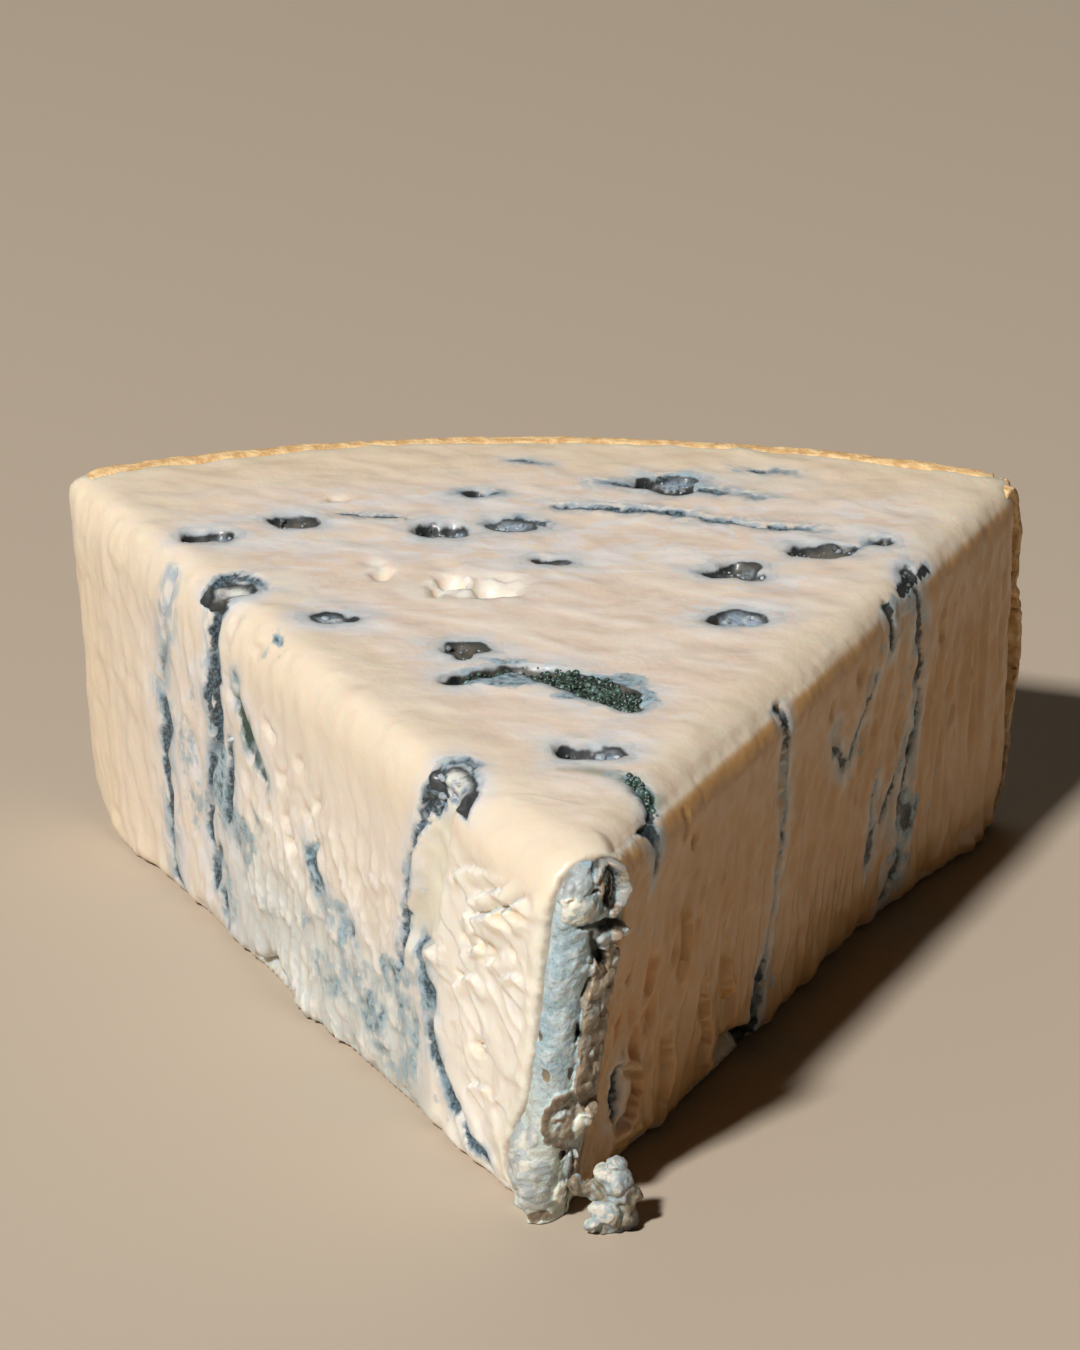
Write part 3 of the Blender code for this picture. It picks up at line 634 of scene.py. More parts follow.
# %% Holes, cracks and lines
# How far each point is from the nearest dark mould, and from the hollow it lines.
on_a_cut = 1 - ease(np.minimum(left_depth, right_depth), 0.5, 0.9)
rim = np.full(len(skin), 9.0)
floor_paleness = np.zeros(len(skin))
floor = np.zeros(len(skin))
for x, y, width, length, depth, pale_floor in TOP_HOLES:
    gap = from_spot(top_flat, x, y, width, length)
    floor = np.maximum(floor, 1 - ease(gap, -1.1, -0.2))
    gap = np.where(gap < 1.6, np.minimum(gap, 0.6 - top_depth * (1 - ease(gap, 0.8, 1.6))), gap)
    gap = np.where(top_depth < depth + 1.5, gap, 9.0)
    gap = np.where((on_a_cut > 0.5) & (top_depth > 1.6), np.maximum(gap, 0.4), gap)
    closer = gap < rim
    rim = np.where(closer, gap, rim)
    floor_paleness = np.where(closer, pale_floor, floor_paleness)
crack_gap = np.minimum(from_route(top_flat, TOP_SLIT), from_route(top_flat, TOP_CRACK))
crack_gap = np.where(crack_gap < 1.2, np.minimum(crack_gap, 0.5 - top_depth), crack_gap)
crack_gap = np.where(top_depth < 5, crack_gap, 9.0)
floor_paleness = np.where(crack_gap < rim, 0.2, floor_paleness)
floor = np.where(crack_gap < rim, 1.0, floor)
rim = np.minimum(rim, crack_gap)

line = np.full(len(skin), 9.0)
groove = np.zeros(len(skin))
bloom = np.zeros(len(skin))
ink = np.zeros(len(skin))
breaks = rough(skin, 2.0, 13)
faint = ease(rough(skin, (2.6, 2.6, 3.4), 14), -0.45, 0.15)
top_and_edge = ease(skin_normals[:, 2], 0.06, 0.4) * (1 - ease(top_depth, 3, 5))
for lines, flat, facing in ((LEFT_LINES, left_flat, on_left), (RIGHT_LINES, right_flat, on_right), (TOP_LINES, top_flat, top_and_edge)):
    for stops, depth, spread in lines:
        gap, darkness = inked_route(flat, stops)
        gap += (1 - facing) * 6 + 0.5 * breaks
        # Lines on the right cut are inked darker than elsewhere: painted shade.
        strength = 1.3 if lines is RIGHT_LINES else 1.0
        ink = np.where(gap < line, np.minimum(1, strength * darkness * (0.35 + 0.65 * faint)), ink)
        line = np.minimum(line, gap)
        groove = np.maximum(groove, depth * (1 - ease(gap, -0.9, 0.5)) * ease(facing, 0.3, 0.9))
        bloom = np.maximum(bloom, (1 - ease(gap, 0, spread)) * facing)
# The broken channels are dark all through, walls and floor.
for routes, flat, depth_here in ((LEFT_CHANNELS, left_flat, left_depth), (RIGHT_CHANNELS, right_flat, right_depth)):
    for route in routes:
        gap = np.where((depth_here > 0.35) & (depth_here < 5) & (top_depth > 1.0), from_route(flat, route) - 0.1, 9.0)
        ink = np.where((gap < line) & (gap < 0.2), 0.95, ink)
        line = np.minimum(line, gap)
patch = np.zeros(len(skin))
for patches, flat, facing in ((LEFT_PATCHES, left_flat, on_left), (RIGHT_PATCHES, right_flat, on_right), (TOP_PATCHES, top_flat, on_top)):
    for x, y, width, length, strength in patches:
        gap = from_spot(flat + wander, x, y, width, length)
        patch = np.maximum(patch, strength * (1 - ease(gap, -1.2, 0.8)) * ease(facing, 0.2, 0.8))
GREEN_VEIN = ((67.2, 33.0, 1.0), (65.8, 29.6, 3.0), (63.2, 26.8, 3.0), (60.8, 24.8, 1.2))
greenish = (1 - ease(from_route(left_flat, GREEN_VEIN), -0.2, 1.2)) * on_left
greenish = np.maximum(greenish, (1 - ease(from_route(top_flat, ((2.8, 16.6, 1.6), (4.8, 13.6, 2.4))), 0, 1.2)) * top_and_edge)
greenish = np.maximum(greenish, 0.6 * (1 - ease(crack_gap, 0.2, 2.0)) * (skin[:, 0] > -5) * on_top)
olive = (1 - ease(from_route(top_flat, ((-4.0, 18.9, 0.6), (-1.6, 18.7, 1.6), (0.6, 17.7, 1.5), (2.4, 15.6, 1.0), (3.6, 13.4, 0.6))), -0.6, 1.0)) * on_top
print("dark points:", int((rim < 0).sum() + (line < 0).sum()))


# %% Strokes and ribs
def tilted(points, angle, stretch, width):
    """Places for noise that is drawn out along a direction in the top face."""
    along = points[:, 0] * math.cos(angle) + points[:, 1] * math.sin(angle)
    across = -points[:, 0] * math.sin(angle) + points[:, 1] * math.cos(angle)
    return np.stack([along / stretch, across / width, points[:, 2] / 6], axis=1)


STROKE_ANGLE = math.radians(-32)
bent = skin + 1.0 * np.stack([noise(skin, 7, 21), noise(skin, 7, 22), noise(skin, 7, 23)], axis=1)
strokes = noise(tilted(bent, STROKE_ANGLE, 7.0, 2.6), 1, 31) + 0.3 * noise(tilted(bent, STROKE_ANGLE, 3.0, 1.3), 1, 32)
smears = ease(noise(tilted(bent, STROKE_ANGLE, 9.0, 2.2), 1, 33), 0.15, 0.5)
drag = noise(bent, (1.7, 1.7, 9), 41) + 0.6 * noise(bent, (0.8, 0.8, 4), 42)
ribs = noise(bent, (3.4, 3.4, 34), 43) * (0.25 + 0.75 * ease(noise(skin, 13, 44), -0.3, 0.3))


def shingles(flat, size, seed, lean=(0.25, -1.0)):
    """Overlapping flakes, about -0.5 to 0.5: each rises along `lean` and ends in a sharp drop."""
    points = np.stack([flat[:, 0] / size[0], flat[:, 1] / size[1], np.full(len(flat), 0.5)], axis=1)
    base = np.floor(points).astype(np.int64)
    total, weights = np.zeros(len(points)), np.full(len(points), 1e-9)
    for offset in np.ndindex(3, 3):
        cell = base + np.array([offset[0] - 1, offset[1] - 1, 0])
        place = cell[:, :2] + np.stack([lattice(cell, seed), lattice(cell, seed + 1)], axis=1)
        away = points[:, :2] - place
        weight = np.exp(-16 * (away**2).sum(axis=1))
        turn = 1.6 * (lattice(cell, seed + 2) - 0.5)
        slope = away[:, 0] * (lean[0] + turn) + away[:, 1] * lean[1]
        total += weight * (0.8 * slope + 0.25 * (lattice(cell, seed + 4) - 0.5))
        weights += weight
    return total / weights


def ledge(flat, stops, step, fade):
    """A torn flake's edge: proud on the left of the route's direction, falling to nothing over `fade`."""
    stops = np.array(stops, float)
    nearest = np.full(len(flat), 99.0)
    side = np.zeros(len(flat))
    inside = np.zeros(len(flat))
    for start, end in zip(stops, stops[1:]):
        run = end - start
        share = np.clip((flat - start) @ run / (run @ run), 0, 1)
        offset = flat - start - share[:, None] * run
        gap = np.linalg.norm(offset, axis=1)
        closer = gap < nearest
        nearest = np.where(closer, gap, nearest)
        side = np.where(closer, np.sign(run[0] * offset[:, 1] - run[1] * offset[:, 0]), side)
    ends = np.minimum(np.linalg.norm(flat - stops[0], axis=1), np.linalg.norm(flat - stops[-1], axis=1))
    inside = ease(ends, 0.0, 1.6)
    proud = step * (1 - ease(nearest, 0, fade))
    return inside * np.where(side > 0, proud, -0.7 * step * (1 - ease(nearest, 0, 1.1)))


# %% Torn flakes and curd
nose_side = (1 - ease(left_out, 20.5, 22.5)) * on_left
facet = nose_side * ease(top_depth, 4, 8)
curd = np.maximum(facet, on_top * (1 - ease(from_spot(top_flat, -10.5, 70.2, 12.0, 8.0), -1.5, 0.6)))
curd = np.maximum(curd, on_top * (1 - ease(from_spot(top_flat, -21.5, 75.5, 2.0, 4.0), -0.6, 0.4)))
turned = math.radians(35)
facet_flat = np.stack([left_out, height], axis=1) + np.stack([rough(skin, 3, 51), rough(skin, 3, 52)], axis=1) * 0.7
flake_flat = np.stack(
    [
        facet_flat[:, 0] * math.cos(turned) + facet_flat[:, 1] * math.sin(turned),
        -facet_flat[:, 0] * math.sin(turned) + facet_flat[:, 1] * math.cos(turned),
    ],
    axis=1,
)
small_flakes = shingles(flake_flat + skin[:, 1:2] * 0.1, (2.6, 1.9), 61)
broad_flakes = shingles(flake_flat + skin[:, 1:2] * 0.1, (7.5, 4.2), 62)
torn_flat = np.stack([np.where(on_left > on_right, left_out, right_out), height], axis=1) + 1.2 * wander
side_flakes = shingles(torn_flat, (2.2, 4.6), 63, (0.5, -0.9))
fine_flakes = shingles(torn_flat, (1.0, 1.4), 64, (0.5, -0.9))
folds = (1 - np.abs(noise(np.stack([flake_flat[:, 0] / 5.5, flake_flat[:, 1] / 2.2, 0 * height], axis=1), 1, 66))) ** 3
fibres = shingles(np.stack([right_out + 0.8 * noise(skin, (4, 4, 14), 46), height], axis=1), (2.3, 19.0), 65, (1.1, -0.2))
# Each flake's lower edge, running toward the heel and down, so that what is above it stands proud.
FACET_LEDGES = (
    (((11.0, 28.8), (8.5, 29.7), (6.0, 31.0), (3.5, 32.8), (0.0, 35.0)), 1.1, 3.6),
    (((10.5, 31.2), (6.4, 33.2), (2.0, 36.2), (-1.5, 38.2)), 0.7, 2.4),
    (((15.5, 31.8), (11.0, 34.0), (7.0, 35.2)), 0.45, 2.6),
    (((16.0, 35.0), (12.5, 37.4), (10.5, 39.4)), 0.35, 2.2),
    (((13.0, 24.0), (11.0, 25.4), (9.4, 27.6)), 0.6, 1.6),
    (((9.0, 24.4), (6.6, 25.0), (5.4, 27.0)), 0.6, 1.5),
    (((5.0, 24.6), (2.6, 25.8), (0.4, 26.4)), 0.5, 1.5),
    (((16.5, 19.0), (13.0, 21.2), (9.0, 22.0)), 0.4, 2.2),
    (((12.6, 13.2), (10.4, 13.8), (8.0, 15.4)), 0.4, 1.6),
    (((14.0, 8.4), (10.8, 10.2), (7.4, 10.8)), 0.35, 2.0),
    (((24.6, 20.2), (22.6, 20.8), (20.6, 21.6), (19.2, 22.0)), 0.9, 1.8),
)
flake_edges = sum(ledge(facet_flat, stops, step, fade) for stops, step, fade in FACET_LEDGES)
CURD_DENTS = (
    (3.6, 31.4, 3.4, 1.5), (1.0, 33.0, 1.8, 1.2), (9.2, 26.7, 1.9, 1.5), (6.9, 26.2, 1.4, 1.9), (10.6, 14.3, 2.2, 0.9),
    (12.6, 25.6, 2.0, 1.1), (2.4, 27.9, 1.6, 1.1), (14.6, 20.4, 1.6, 0.9), (8.4, 10.0, 1.6, 0.8),
)
TOP_DENTS = ((-15.0, 68.8, 1.4, 4.0), (-9.6, 67.0, 3.2, 1.6), (-12.2, 70.6, 1.2, 1.4), (-20.8, 73.0, 2.0, 3.6), (-7.2, 67.8, 1.4, 1.4), (-25.6, 97.0, 2.6, 0.8))
dent = np.zeros(len(skin))
for spots, flat, zone in ((CURD_DENTS, left_flat, facet), (TOP_DENTS, top_flat, on_top)):
    for x, y, width, length in spots:
        dent = np.maximum(dent, (1 - ease(from_spot(flat + wander * 0.5, x, y, width, length), -0.9, 0.45)) * zone)
creased = 1 - ease(np.abs(rough(bent, (1.9, 1.9, 2.4), 72, 2)), 0.0, 0.16)
print("facet points:", int((facet > 0.5).sum()))

# %% Tears in the cuts
torn_zone = on_left * ease(left_out, 24, 32) * (1 - ease(left_out, 64, 74)) * (1 - ease(height, 18, 34))
torn_zone = np.maximum(torn_zone, on_right * 0.9 * (1 - ease(right_out, 3, 24)) * (1 - ease(height, 16, 32)))
torn_zone = np.maximum(torn_zone, on_right * 0.5 * around(right_out, 72, 26) * ease(height, 12, 22))
torn_zone = np.maximum(torn_zone, 0.35 * on_right)
tears = ease(rough(bent, (1.8, 1.8, 3.8), 81), 0.22, 0.50)
tear_lips = ease(rough(bent, (1.1, 1.1, 2.2), 82), 0.15, 0.55)
waxy = on_left * ease(left_out, 20, 26) * (1 - ease(left_out, 52, 60)) * ease(height, 25, 34)
TORN_HOLES = (
    (67.9, 31.8, 2.0, 1.2), (63.1, 39.3, 2.2, 0.9), (38.9, 42.3, 1.8, 0.8), (51.8, 30.7, 2.2, 1.2),
    (47.4, 27.7, 2.4, 1.3), (55.8, 22.2, 2.2, 1.6), (65.2, 25.7, 1.6, 1.6), (59.5, 31.5, 3.0, 1.2),
    (57.0, 27.0, 2.6, 1.4), (54.5, 19.4, 1.8, 1.6), (50.5, 24.5, 2.4, 1.2), (60.2, 20.4, 1.6, 2.0),
)
torn_hole = np.zeros(len(skin))
for spot in TORN_HOLES:
    torn_hole = np.maximum(torn_hole, (1 - ease(from_spot(left_flat + wander, *spot), -0.6, 0.4)) * on_left)
# The right cut: pits near the nose, the low ones by the nose painted orange, with curled flaps below them.
RIGHT_PITS = (
    (13.4, 21.6, 2.6, 4.6, 0.6), (14.7, 16.6, 3.2, 3.6, 0.8), (11.6, 14.2, 2.8, 4.6, 1.0), (17.5, 36.6, 1.0, 2.4, 0.7),
    (19.6, 22.0, 1.2, 3.6, 0.6), (16.6, 10.6, 1.6, 3.4, 0.5), (6.4, 19.0, 1.4, 4.0, 0.4),
    (20.4, 33.8, 1.6, 3.2, 0.7), (36.8, 8.0, 4.0, 7.0, 1.2), (24.0, 22.0, 1.4, 5.0, 0.4), (30.0, 14.0, 1.6, 6.0, 0.5),
    (58.4, 34.6, 1.6, 2.6, 0.7), (61.5, 30.5, 1.6, 3.2, 0.6), (66.0, 36.0, 1.8, 3.0, 0.6), (70.5, 33.5, 1.5, 3.4, 0.5),
    (7.6, 24.0, 1.6, 3.0, 0.5), (10.4, 18.0, 1.6, 3.0, 0.6), (86.0, 30.0, 2.0, 5.0, 0.5), (93.0, 33.0, 1.8, 5.0, 0.4), (97.0, 22.0, 2.4, 7.0, 0.4), (82.0, 24.0, 1.8, 5.0, 0.5),
)
pit = np.zeros(len(skin))
amber = np.zeros(len(skin))
for x, y, width, length, depth in RIGHT_PITS:
    inside = (1 - ease(from_spot(right_flat + wander, x, y, width, length), -0.9, 0.5)) * on_right
    pit = np.maximum(pit, depth * inside)
    if x < 15 and y < 25:
        amber = np.maximum(amber, inside)
RIGHT_LEDGES = (
    (((43.0, 41.0), (44.0, 36.0), (44.8, 30.0), (46.2, 20.0), (46.8, 10.0), (47.2, 3.0)), 0.35, 2.4),
    (((9.4, 12.6), (12.2, 11.6), (13.8, 8.8), (12.8, 5.6), (10.6, 4.6)), 1.1, 2.2),
    (((12.6, 3.2), (15.0, 3.0), (17.4, 2.4)), 0.9, 2.0),
    (((20.8, 26.0), (21.6, 22.0), (21.4, 17.0)), 0.6, 2.2),
    (((20.0, 12.0), (21.6, 7.0), (21.4, 2.0)), 0.8, 3.0),
    (((28.5, 14.0), (30.6, 8.0), (31.6, 2.0)), 0.9, 3.4),
    (((34.0, 16.0), (35.6, 10.0), (35.8, 4.0)), 0.7, 2.4),
)
right_edges = sum(ledge(right_flat, stops, step, fade) for stops, step, fade in RIGHT_LEDGES)
print("torn points:", int((torn_zone > 0.5).sum()))

# %% The bed of the nose's strip of mould
# Each stop is height and the strip's two edges, as turns about the nose, left positive.
STRIP_EDGES = (
    (0.0, 116, -72), (3.5, 119, -80), (6.0, 115, -84), (8.8, 100, -92), (12.5, 77, -88), (15.0, 68, -80),
    (18.5, 60, -76), (22.5, 53, -68), (25.7, 48, -66), (28.5, 45, -84), (31.4, 42, -90), (34.6, 38, -92),
    (36.6, 36, -86), (38.0, 34, -76), (38.9, 29, -62), (39.5, 21, -48), (39.9, 4, -30),
)
strip_heights, strip_left, strip_right = np.array(STRIP_EDGES, float).T


def nose_turn(points):
    """Angle about the nose's axis in degrees, 0 toward the front and positive to the left."""
    return np.degrees(np.arctan2(NOSE_CENTRE.x - points[:, 0], NOSE_CENTRE.y - points[:, 1]))


turn_here = nose_turn(skin)
nose_radius = np.hypot(skin[:, 0] - NOSE_CENTRE.x, skin[:, 1] - NOSE_CENTRE.y)
left_edge = np.interp(height, strip_heights, strip_left)
right_edge = np.interp(height, strip_heights, strip_right)
strip_gap = np.maximum(turn_here - left_edge, right_edge - turn_here) * np.radians(1) * nose_radius
strip_gap = np.maximum(strip_gap + 0.35 * rough(skin, 1.6, 101), height - 39.9)
strip_gap = np.where((skin[:, 1] < 9) & (nose_radius < 9.5), strip_gap, 9.0)

# %% Push the skin in and out
below_rim = ease(top_depth, 7, 18)
near_right = 1 - ease(right_depth, 2, 9)
rise = on_top * (1 - 0.8 * near_right) * (0.04 * strokes + 0.06 * smears) + on_top * 0.10 * rough(skin, 3.4, 93, 2)
rise += on_left * (1 - nose_side) * (1 - 0.75 * waxy) * (0.12 * drag + 0.12 * side_flakes)
rise += on_right * below_rim * (0.28 * ribs + 0.10 * drag + 0.50 * fibres)
rise += facet * (flake_edges + 0.34 * broad_flakes + 0.05 * small_flakes + 0.26 * folds - 0.3 - 0.9 * dent)
rise += (curd - facet) * (0.6 * small_flakes + 0.55 * rough(skin, 1.7, 97, 2) - 0.2) - on_top * 1.2 * dent
rise += ledge(facet_flat, FACET_LEDGES[-1][0], 0.7, 2.0) * on_left * (1 - facet)
rise -= torn_zone * (0.20 * tears - 0.26 * side_flakes - 0.20 * fine_flakes) + 0.6 * torn_hole + pit
in_hole = (1 - ease(rim, -0.1, 0.5)) * (top_depth > 0.6)
rise += in_hole * (0.38 * rough(skin, 1.5, 94) + 0.12 * noise(skin, 0.7, 95))
rise += right_edges * on_right
# The wall of the far channel is crumbly, and so is the paste round the nose's.
rise += 0.55 * on_left * around(left_out, 69.4, 1.6) * ease(height, 26, 32) * rough(skin, 1.3, 98, 2)
# The right edge is worn rounder toward the nose.
worn = (1 - ease(top_depth, 0.3, 5)) * (1 - ease(right_depth, 0.5, 6)) * (1 - ease(skin[:, 1], 30, 75))
rise -= 1.2 * worn * ease(strip_gap, 0, 4)
rise += 0.22 * rough(skin, 7, 91) * (on_left + on_right + 0.5 * on_top)
rise -= groove
# The foot of each cut is ragged, with one hollow where a piece stayed behind.
foot = (on_left + on_right) * (1 - ease(height, 1.5, 6))
rise += foot * 0.55 * rough(skin, 4.5, 92, 2)
rise -= 3.4 * on_left * (1 - ease(from_spot(left_flat + wander, 61.5, -0.4, 12.0, 6.4), -1.6, 0.4))
rise += 0.7 * on_left * around(left_out, 53, 6) * (1 - ease(height, 2, 5))
rise -= 2.6 * on_right * (1 - ease(from_spot(right_flat + 2 * wander, 38.5, -1.0, 17.0, 13.0), -2.0, 0.3))
# The half channel between the nose's seam and its facet.
channel_middle = ((18.6, 41.5, 0), (18.6, 37.5, 0), (19.6, 33.0, 0), (21.0, 28.0, 0), (23.2, 23.5, 0), (24.8, 19.8, 0))
channel = (1 - ease(np.abs(from_route(left_flat, channel_middle)), 1.0, 3.4)) * on_left
rise -= 1.2 * channel * ease(height, 19, 21)
rise *= 1 - on_base
rise *= ease(strip_gap, -0.5, 1.5)
beside = ease(strip_gap, 0.1, 0.6) * (1 - ease(strip_gap, 1.2, 2.6)) * (turn_here > 0)
rise += 0.35 * beside * ease(height, 3, 8) * (1 - ease(height, 34, 38))
rise -= 1.5 * (1 - ease(strip_gap, -0.9, 0.25))
skin = skin + skin_normals * rise[:, None]


# %% [markdown]
# The wedge has slumped since it was cut: its foot is a little wider than its top, and leans.


# %% Let it settle
def settled(points):
    """Moves points sideways by as much as the cheese has slumped there; its top stays in place."""
    x, y, z = points.T
    low = 1 - z / NOSE_HEIGHT
    nose = -1.6 * low * (1 - ease(y, 5, 40))
    left_spread = -1.3 * low * around(y, 42, 38) * ease(-x, 2, 14)
    heel_spread = 3.6 * low * ease(y, 66, 100) * ease(x, 15, 45)
    return points + np.stack([nose + left_spread + heel_spread, 0 * x, 0 * x], axis=1)


skin = settled(skin)
skin[:, 2] = np.maximum(skin[:, 2], 0)
move_points(body.data, skin)
make_active(body)
bpy.ops.object.mode_set(mode="EDIT")
by_strip = np.abs(strip_gap) < 1.4
select_in(body, "VERT", lambda vertex: by_strip[vertex.index])
bpy.ops.mesh.vertices_smooth(factor=0.5, repeat=3)
bpy.ops.object.mode_set(mode="OBJECT")


def set_field(mesh, name, values):
    field = mesh.attributes.new(name, "FLOAT", "POINT")
    field.data.foreach_set("value", np.asarray(values, np.float32))


halo_reach = np.minimum(rim, line + 1.2)
yellow = np.maximum(ease(radius, 99, 112), on_left * ease(left_out, 89, 98) * 0.55)
# On the right cut this yellow is painted warm shade; near the rind and heel it is the paste's own.
yellow = np.maximum(yellow, 0.45 * on_right)
near_rim = ease(top_depth, -1, 0) * (1 - ease(top_depth, 5, 11))
creamy = near_rim * np.maximum(1 - ease(left_depth, 5, 13), 0.9 * (1 - ease(right_depth, 4, 10))) * ease(halo_reach, 0.6, 3.0)
creamy = np.maximum(creamy, beside)
chalk = np.clip(0.85 * curd + 0.30 * torn_zone + 0.25 * on_left * (1 - yellow), 0, 1)
marbled = np.clip(on_top * around(skin[:, 1], 88, 30) + on_left * around(left_out, 81, 16) + (1 - ease(halo_reach, 1, 7)), 0, 1)
bluish = on_left * (1 - ease(height, 8, 22)) * ease(left_out, 18, 26) * (1 - ease(left_out, 70, 84)) * (1 - facet)
for name, values in {
    "rim": rim, "floor_paleness": floor_paleness, "floor": floor, "line": line, "bloom": bloom, "patch": patch,
    "chalk": chalk, "yellow": yellow, "torn": torn_zone, "strokes": strokes, "drag": drag,
    "on_top": on_top, "dent": dent, "waxy": waxy, "strip": strip_gap, "halo": halo_reach,
    "curd": curd, "crease": np.maximum(creased * curd, torn_hole), "amber": amber, "channel": channel,
    "on_left": on_left, "on_right": on_right, "smears": smears * on_top, "ink": ink, "creamy": creamy,
    # Painted shade: where the right cut faces straight out, its paste is to be tinted warm brown.
    "painted_right_shade": ease(skin_normals @ np.array(RIGHT[2]), 0.84, 0.97) * (1 - ease(right_depth, 2.5, 5)), "marbled": marbled, "bluish": bluish, "greenish": greenish, "olive": olive,
    "flake": np.clip(0.5 + (side_flakes + 0.6 * fine_flakes) * torn_zone, 0, 1),
}.items():
    set_field(body.data, name, values)


# %% [markdown]
# The paste's material reads the fields that the relief was made from, so colour and shape agree. Fine
# noise on Object coordinates breaks up every edge, and a little light goes into the paste and out
# again, as in any fatty food.


# %% A short way to write nodes
class Nodes:
    """Adds nodes to one material; each call returns the new node's output."""

    def __init__(self, name):
        self.material = bpy.data.materials.new(name)
        self.material.use_nodes = True
        self.tree = self.material.node_tree
        self.shader = self.tree.nodes["Principled BSDF"]
        self.place = self.add("ShaderNodeTexCoord").outputs["Object"]

    def add(self, kind, **settings):
        node = self.tree.nodes.new(kind)
        for name, value in settings.items():
            setattr(node, name, value)
        return node

    def plug(self, socket, value):
        if isinstance(value, bpy.types.NodeSocket):
            self.tree.links.new(value, socket)
        elif isinstance(value, tuple):
            socket.default_value = (*value, 1.0) if len(value) == 3 and socket.type == "RGBA" else value
        else:
            socket.default_value = value

    def field(self, name):
        return self.add("ShaderNodeAttribute", attribute_name=name).outputs["Fac"]

    def math(self, operation, one, other=0.0, clamp=False):
        node = self.add("ShaderNodeMath", operation=operation, use_clamp=clamp)
        self.plug(node.inputs[0], one)
        self.plug(node.inputs[1], other)
        return node.outputs[0]

    def span(self, value, start, end, low=0.0, high=1.0):
        """`low` at the start and `high` at the end, with a smooth change between."""
        node = self.add("ShaderNodeMapRange", interpolation_type="SMOOTHSTEP")
        self.plug(node.inputs["Value"], value)
        for name, number in (("From Min", start), ("From Max", end), ("To Min", low), ("To Max", high)):
            node.inputs[name].default_value = number
        return node.outputs["Result"]

    def mix(self, share, one, other):
        node = self.add("ShaderNodeMix", data_type="RGBA")
        self.plug(node.inputs[0], share)
        self.plug(node.inputs[6], one)
        self.plug(node.inputs[7], other)
        return node.outputs[2]

    def noise(self, across, detail=3.0, stretch=(1, 1, 1), turn=(0, 0, 0), swirl=0.0):
        """Noise with features about `across` millimetres wide."""
        mapping = self.add("ShaderNodeMapping")
        self.plug(mapping.inputs["Vector"], self.place)
        mapping.inputs["Rotation"].default_value = turn
        mapping.inputs["Scale"].default_value = stretch
        node = self.add("ShaderNodeTexNoise")
        self.plug(node.inputs["Vector"], mapping.outputs["Vector"])
        node.inputs["Scale"].default_value = 1 / (across * MM)
        node.inputs["Detail"].default_value = detail
        node.inputs["Distortion"].default_value = swirl
        return node.outputs["Fac"]

    def bump(self, value, depth, strength=1.0, under=None):
        """Relief `depth` millimetres deep."""
        node = self.add("ShaderNodeBump")
        self.plug(node.inputs["Height"], value)
        node.inputs["Strength"].default_value = strength
        node.inputs["Distance"].default_value = depth * MM
        if under is not None:
            self.plug(node.inputs["Normal"], under)
        return node.outputs["Normal"]

    def finish(self, **sockets):
        for name, value in sockets.items():
            self.plug(self.shader.inputs[name.replace("_", " ")], value)
        return self.material


def srgb(red, green, blue):
    """A colour as it is usually written, 0 to 255, in the linear numbers that Blender mixes."""
    return tuple(((c / 255 + 0.055) / 1.055) ** 2.4 if c > 10 else c / 255 / 12.92 for c in (red, green, blue))


# %% Paste
paste = Nodes("blue_cheese_paste")
grainy = paste.noise(0.35, 3)
fine = paste.noise(0.8, 4)
patchy = paste.noise(2.2, 4)
cloudy = paste.noise(7, 3)
top_streak = paste.noise(4.4, 3, (0.30, 1.0, 1.0), (0, 0, math.radians(32)), 1.0)
side_streak = paste.noise(2.0, 3, (1.0, 1.0, 0.42), (0, 0, 0), 1.2)
streak = paste.mix(paste.field("on_top"), side_streak, top_streak)
blotch = paste.noise(4.0, 3, swirl=0.8)

# Warm translucent paste, whitened where mould has drawn the colour out or the wire smeared it.
base = paste.mix(paste.span(cloudy, 0.35, 0.65), srgb(225, 205, 186), srgb(233, 217, 199))
base = paste.mix(paste.span(blotch, 0.52, 0.72, 0.0, 0.28), base, srgb(216, 190, 163))
base = paste.mix(paste.math("MULTIPLY", paste.field("on_left"), 0.45), base, srgb(221, 215, 204))
base = paste.mix(paste.math("MULTIPLY", paste.field("chalk"), 0.65), base, srgb(234, 228, 214))
base = paste.mix(paste.math("MULTIPLY", paste.field("bluish"), 0.72), base, srgb(190, 201, 202))
marble = paste.math("MULTIPLY", paste.field("marbled"), paste.span(paste.math("ADD", blotch, streak), 0.92, 1.14))
base = paste.mix(paste.math("MULTIPLY", marble, 0.75), base, srgb(228, 226, 226))
whitened = paste.math("MULTIPLY", paste.span(streak, 0.54, 0.68), paste.span(blotch, 0.60, 0.44, 0.05, 0.45))
whitened = paste.math("MAXIMUM", whitened, paste.math("MULTIPLY", paste.field("smears"), 0.40))
base = paste.mix(whitened, base, srgb(240, 233, 222))
base = paste.mix(paste.span(paste.field("flake"), 0.6, 0.9, 0.0, 0.6), base, srgb(240, 236, 228))
base = paste.mix(paste.span(paste.field("flake"), 0.42, 0.15, 0.0, 0.25), base, srgb(206, 192, 170))
base = paste.mix(paste.math("MULTIPLY", paste.field("waxy"), 0.6), base, srgb(234, 223, 205))
base = paste.mix(paste.math("MULTIPLY", paste.field("yellow"), 0.75), base, srgb(231, 212, 182))
base = paste.mix(paste.math("MULTIPLY", paste.field("creamy"), 0.75), base, srgb(230, 216, 192))
base = paste.mix(paste.math("MULTIPLY", paste.field("curd"), 0.7), base, srgb(240, 234, 222))
